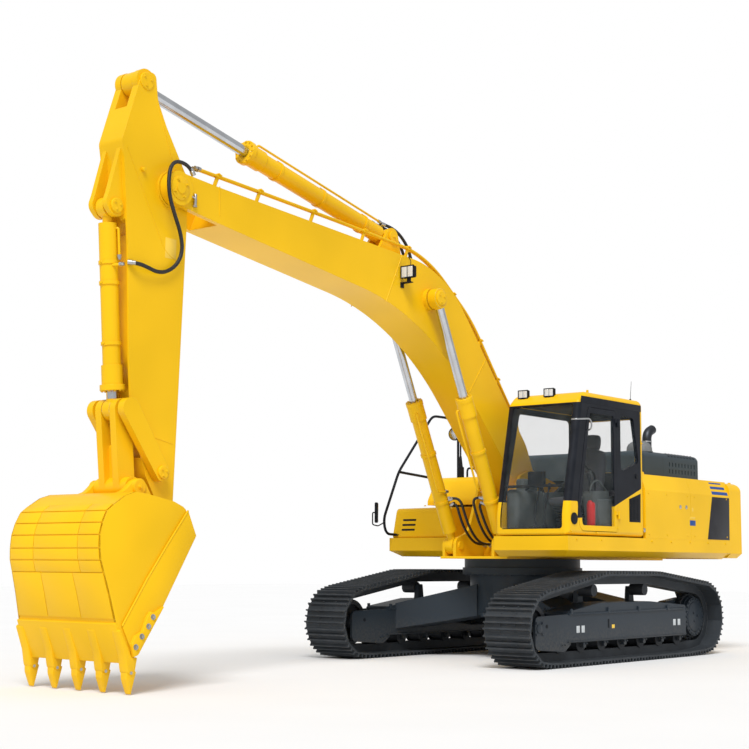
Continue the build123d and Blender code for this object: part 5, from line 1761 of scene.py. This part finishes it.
# ---------------------------------------------------------------- undercarriage
@dataclass
class UndercarriageFittings:
    """The bolts of drive covers, shoes and slewing ring, and the frames' rails and plates."""

    track: float = 1.295
    drive: tuple[float, float] = (-1.862, 0.4743)
    cover_face: float = 0.108
    idler: tuple[float, float] = (1.885, 0.4293)
    frame_side: float = 0.165
    pitch: float = 0.216
    skin: float = 0.1203
    ring_radius: float = 0.722
    ring_bolts: int = 48
    head_across: float = 0.095
    head_along: float = 0.036

    def drives(self) -> None:
        """Bolt the drive covers and cap their middles."""
        steel = Stock("drive_cover_bolts")
        for side in Side:
            out = side.out
            face = Vector((self.drive[0], side * (self.track + self.cover_face), self.drive[1]))
            steel.ring(face, out, 0.222, 22, 0.024)
            steel.turning([(-0.002, 0.0), (-0.002, 0.19), (0.006, 0.186), (0.010, 0.17),
                           (0.010, 0.0)], face, out, 48)
            steel.ring(face + out * 0.010, out, 0.06, 3, 0.026, 0.2)
            flange = face - out * 0.038
            steel.ring(flange, out, 0.2555, 30, 0.012)
            hub = Vector((self.idler[0], side * (self.track + self.frame_side), self.idler[1]))
            steel.cap(hub, out, 0.05, 0.012, (0.004, 0.010), 32)
            steel.ring(hub, out, 0.085, 4, 0.026, 0.785)
        steel.piece(DARK, "undercarriage", mend=True)

    def frames(self) -> None:
        """Add the frames' rails, covers and blank plates, and black marks that paint the shade in
        their recesses.
        """
        rails, dark = Stock("frame_rails"), Stock("frame_recess_shade")
        for centre in (self.track, -self.track):
            for side in Side:
                y = centre + side * self.frame_side
                low, high = sorted((y, y + side * 0.014))
                for rail in (((1.28, 0.562), (1.28, 0.585), (-1.46, 0.600), (-1.46, 0.577)),
                             ((1.30, 0.26), (1.30, 0.275), (-1.50, 0.275), (-1.50, 0.26))):
                    rails.slab(rail, SIDE, low, high, 0.003)
                for x in (1.235, 0.415, -0.30, -1.02):
                    rails.block((x - 0.02, min(y, y + side * 0.02), 0.575),
                                (x + 0.02, max(y, y + side * 0.02), 0.635), 0.004)
                # painted shade: a black disc and a thin black slot stand for the shade in the
                # frame's recesses
                dark.bar((1.73, y - side * 0.002, 0.451), (1.73, y + side * 0.003, 0.451), 0.021,
                         sides=24)
                dark.block((0.385, y - 0.003, 0.40), (0.415, y + 0.003, 0.50), 0.001)
                for i in range(7):
                    for x in (-1.40 + 0.46 * i, -1.34 + 0.46 * i):
                        rails.bolt((x, y, 0.238), side.out, 0.02)
        rails.piece(DARK, "undercarriage")
        dark.piece(BLACK, "undercarriage")
        pale, gold = Stock("frame_blank_plates"), Stock("frame_small_plate")
        for side in Side:
            y = side * (self.track + self.frame_side)
            for x_low, x_high, z_low, z_high in (
                    (1.044, 1.112, 0.362, 0.440), (0.935, 1.003, 0.362, 0.440),
                    (-1.245, -1.180, 0.384, 0.460), (-1.365, -1.298, 0.384, 0.460)):
                pale.block((x_low, y - FILM, z_low), (x_high, y + FILM, z_high), 0.0004)
            gold.block((0.262, y - FILM, 0.392), (0.325, y + FILM, 0.434), 0.0004)
        pale.piece(PALE, "undercarriage")
        gold.piece(PLATE, "undercarriage")

    def belt(self) -> list[Vector]:
        """Return the shoes' hinge places on the belt line.

        The line is the convex loop round the wheels, offset to the shoes' outer skin.
        """
        wheels = ((*self.idler, 0.268), (*self.drive, 0.296), (0.6, 0.8297, 0.070),
                  (-0.6, 0.8297, 0.070), (-1.37, 0.2363, 0.080), (1.39, 0.2363, 0.080))
        cloud = []
        for x, z, radius in wheels:
            for i in range(360):
                a = math.radians(i)
                reach = radius + self.skin
                cloud.append((x + reach * math.cos(a), z + reach * math.sin(a)))
        cloud.sort()
        hull: list[tuple[float, float]] = []
        for run in (cloud, cloud[::-1]):
            part: list[tuple[float, float]] = []
            for x, z in run:
                while len(part) > 1 and ((part[-1][0] - part[-2][0]) * (z - part[-2][1])
                                         <= (part[-1][1] - part[-2][1]) * (x - part[-2][0])):
                    part.pop()
                part.append((x, z))
            hull += part[:-1]
        points = [Vector((x, 0, z)) for x, z in hull]
        points.append(points[0])
        total = sum((b - a).length for a, b in zip(points, points[1:]))
        count = round(total / self.pitch)
        made, along, step = [], 0.0, total / count
        for a, b in zip(points, points[1:]):
            span = (b - a).length
            while span > 0 and len(made) * step <= along + span and len(made) < count:
                made.append(a + (b - a) / span * (len(made) * step - along))
            along += span
        return made

    def shoes(self) -> None:
        """Bolt every shoe to its chain: two pairs of heads beside the middle grouser."""
        heads = Stock("shoe_bolts")
        places = self.belt()
        for start, end in zip(places, places[1:] + places[:1]):
            along = (end - start).normalized()
            out = Vector((along.z, 0, -along.x))
            middle = (start + end) / 2
            for centre in (self.track, -self.track):
                for y in (-self.head_across, self.head_across):
                    for step in (-self.head_along, self.head_along):
                        head = middle + along * step + Vector((0, centre + y, 0))
                        heads.bar(head - out * 0.004, head + out * 0.010, 0.014, 0.013, 6)
        heads.piece(TRACK, "undercarriage")
        log.info("each track has %d shoes", len(places))

    def middle(self) -> None:
        """Bolt the slewing ring and close the four holes of the middle's top plate."""
        steel = Stock("slew_ring_bolts")
        for i in range(self.ring_bolts):
            a = 2 * math.pi * i / self.ring_bolts
            place = (self.ring_radius * math.cos(a), self.ring_radius * math.sin(a), 1.004)
            steel.bolt(place, (0, 0, -1), 0.026, False)
        for i in range(4):
            a = math.pi / 4 + i * math.pi / 2
            x, y = 0.40 * math.cos(a), 0.40 * math.sin(a)
            steel.bar((x, y, 0.494), (x, y, 0.499), 0.12, sides=28)
        steel.piece(DARK, "undercarriage")

    def build(self) -> None:
        """Build all of the undercarriage's fittings."""
        self.drives()
        self.frames()
        self.shoes()
        self.middle()


def main() -> None:
    """Build the machine's looks in order."""
    logging.basicConfig(level=logging.INFO, format="%(message)s")
    studio = Studio()
    studio.camera()
    Hoses().build()
    studio.floor()
    studio.lights()
    for finish, nodes in WORN.items():
        dress(nodes, finish)
    for assembly in (BoomFittings(), ArmFittings(), JackFittings(), BucketShell(),
                     HouseFittings(), CabFittings(), Seat(), UndercarriageFittings()):
        assembly.build()


if __name__ == "__main__":
    main()
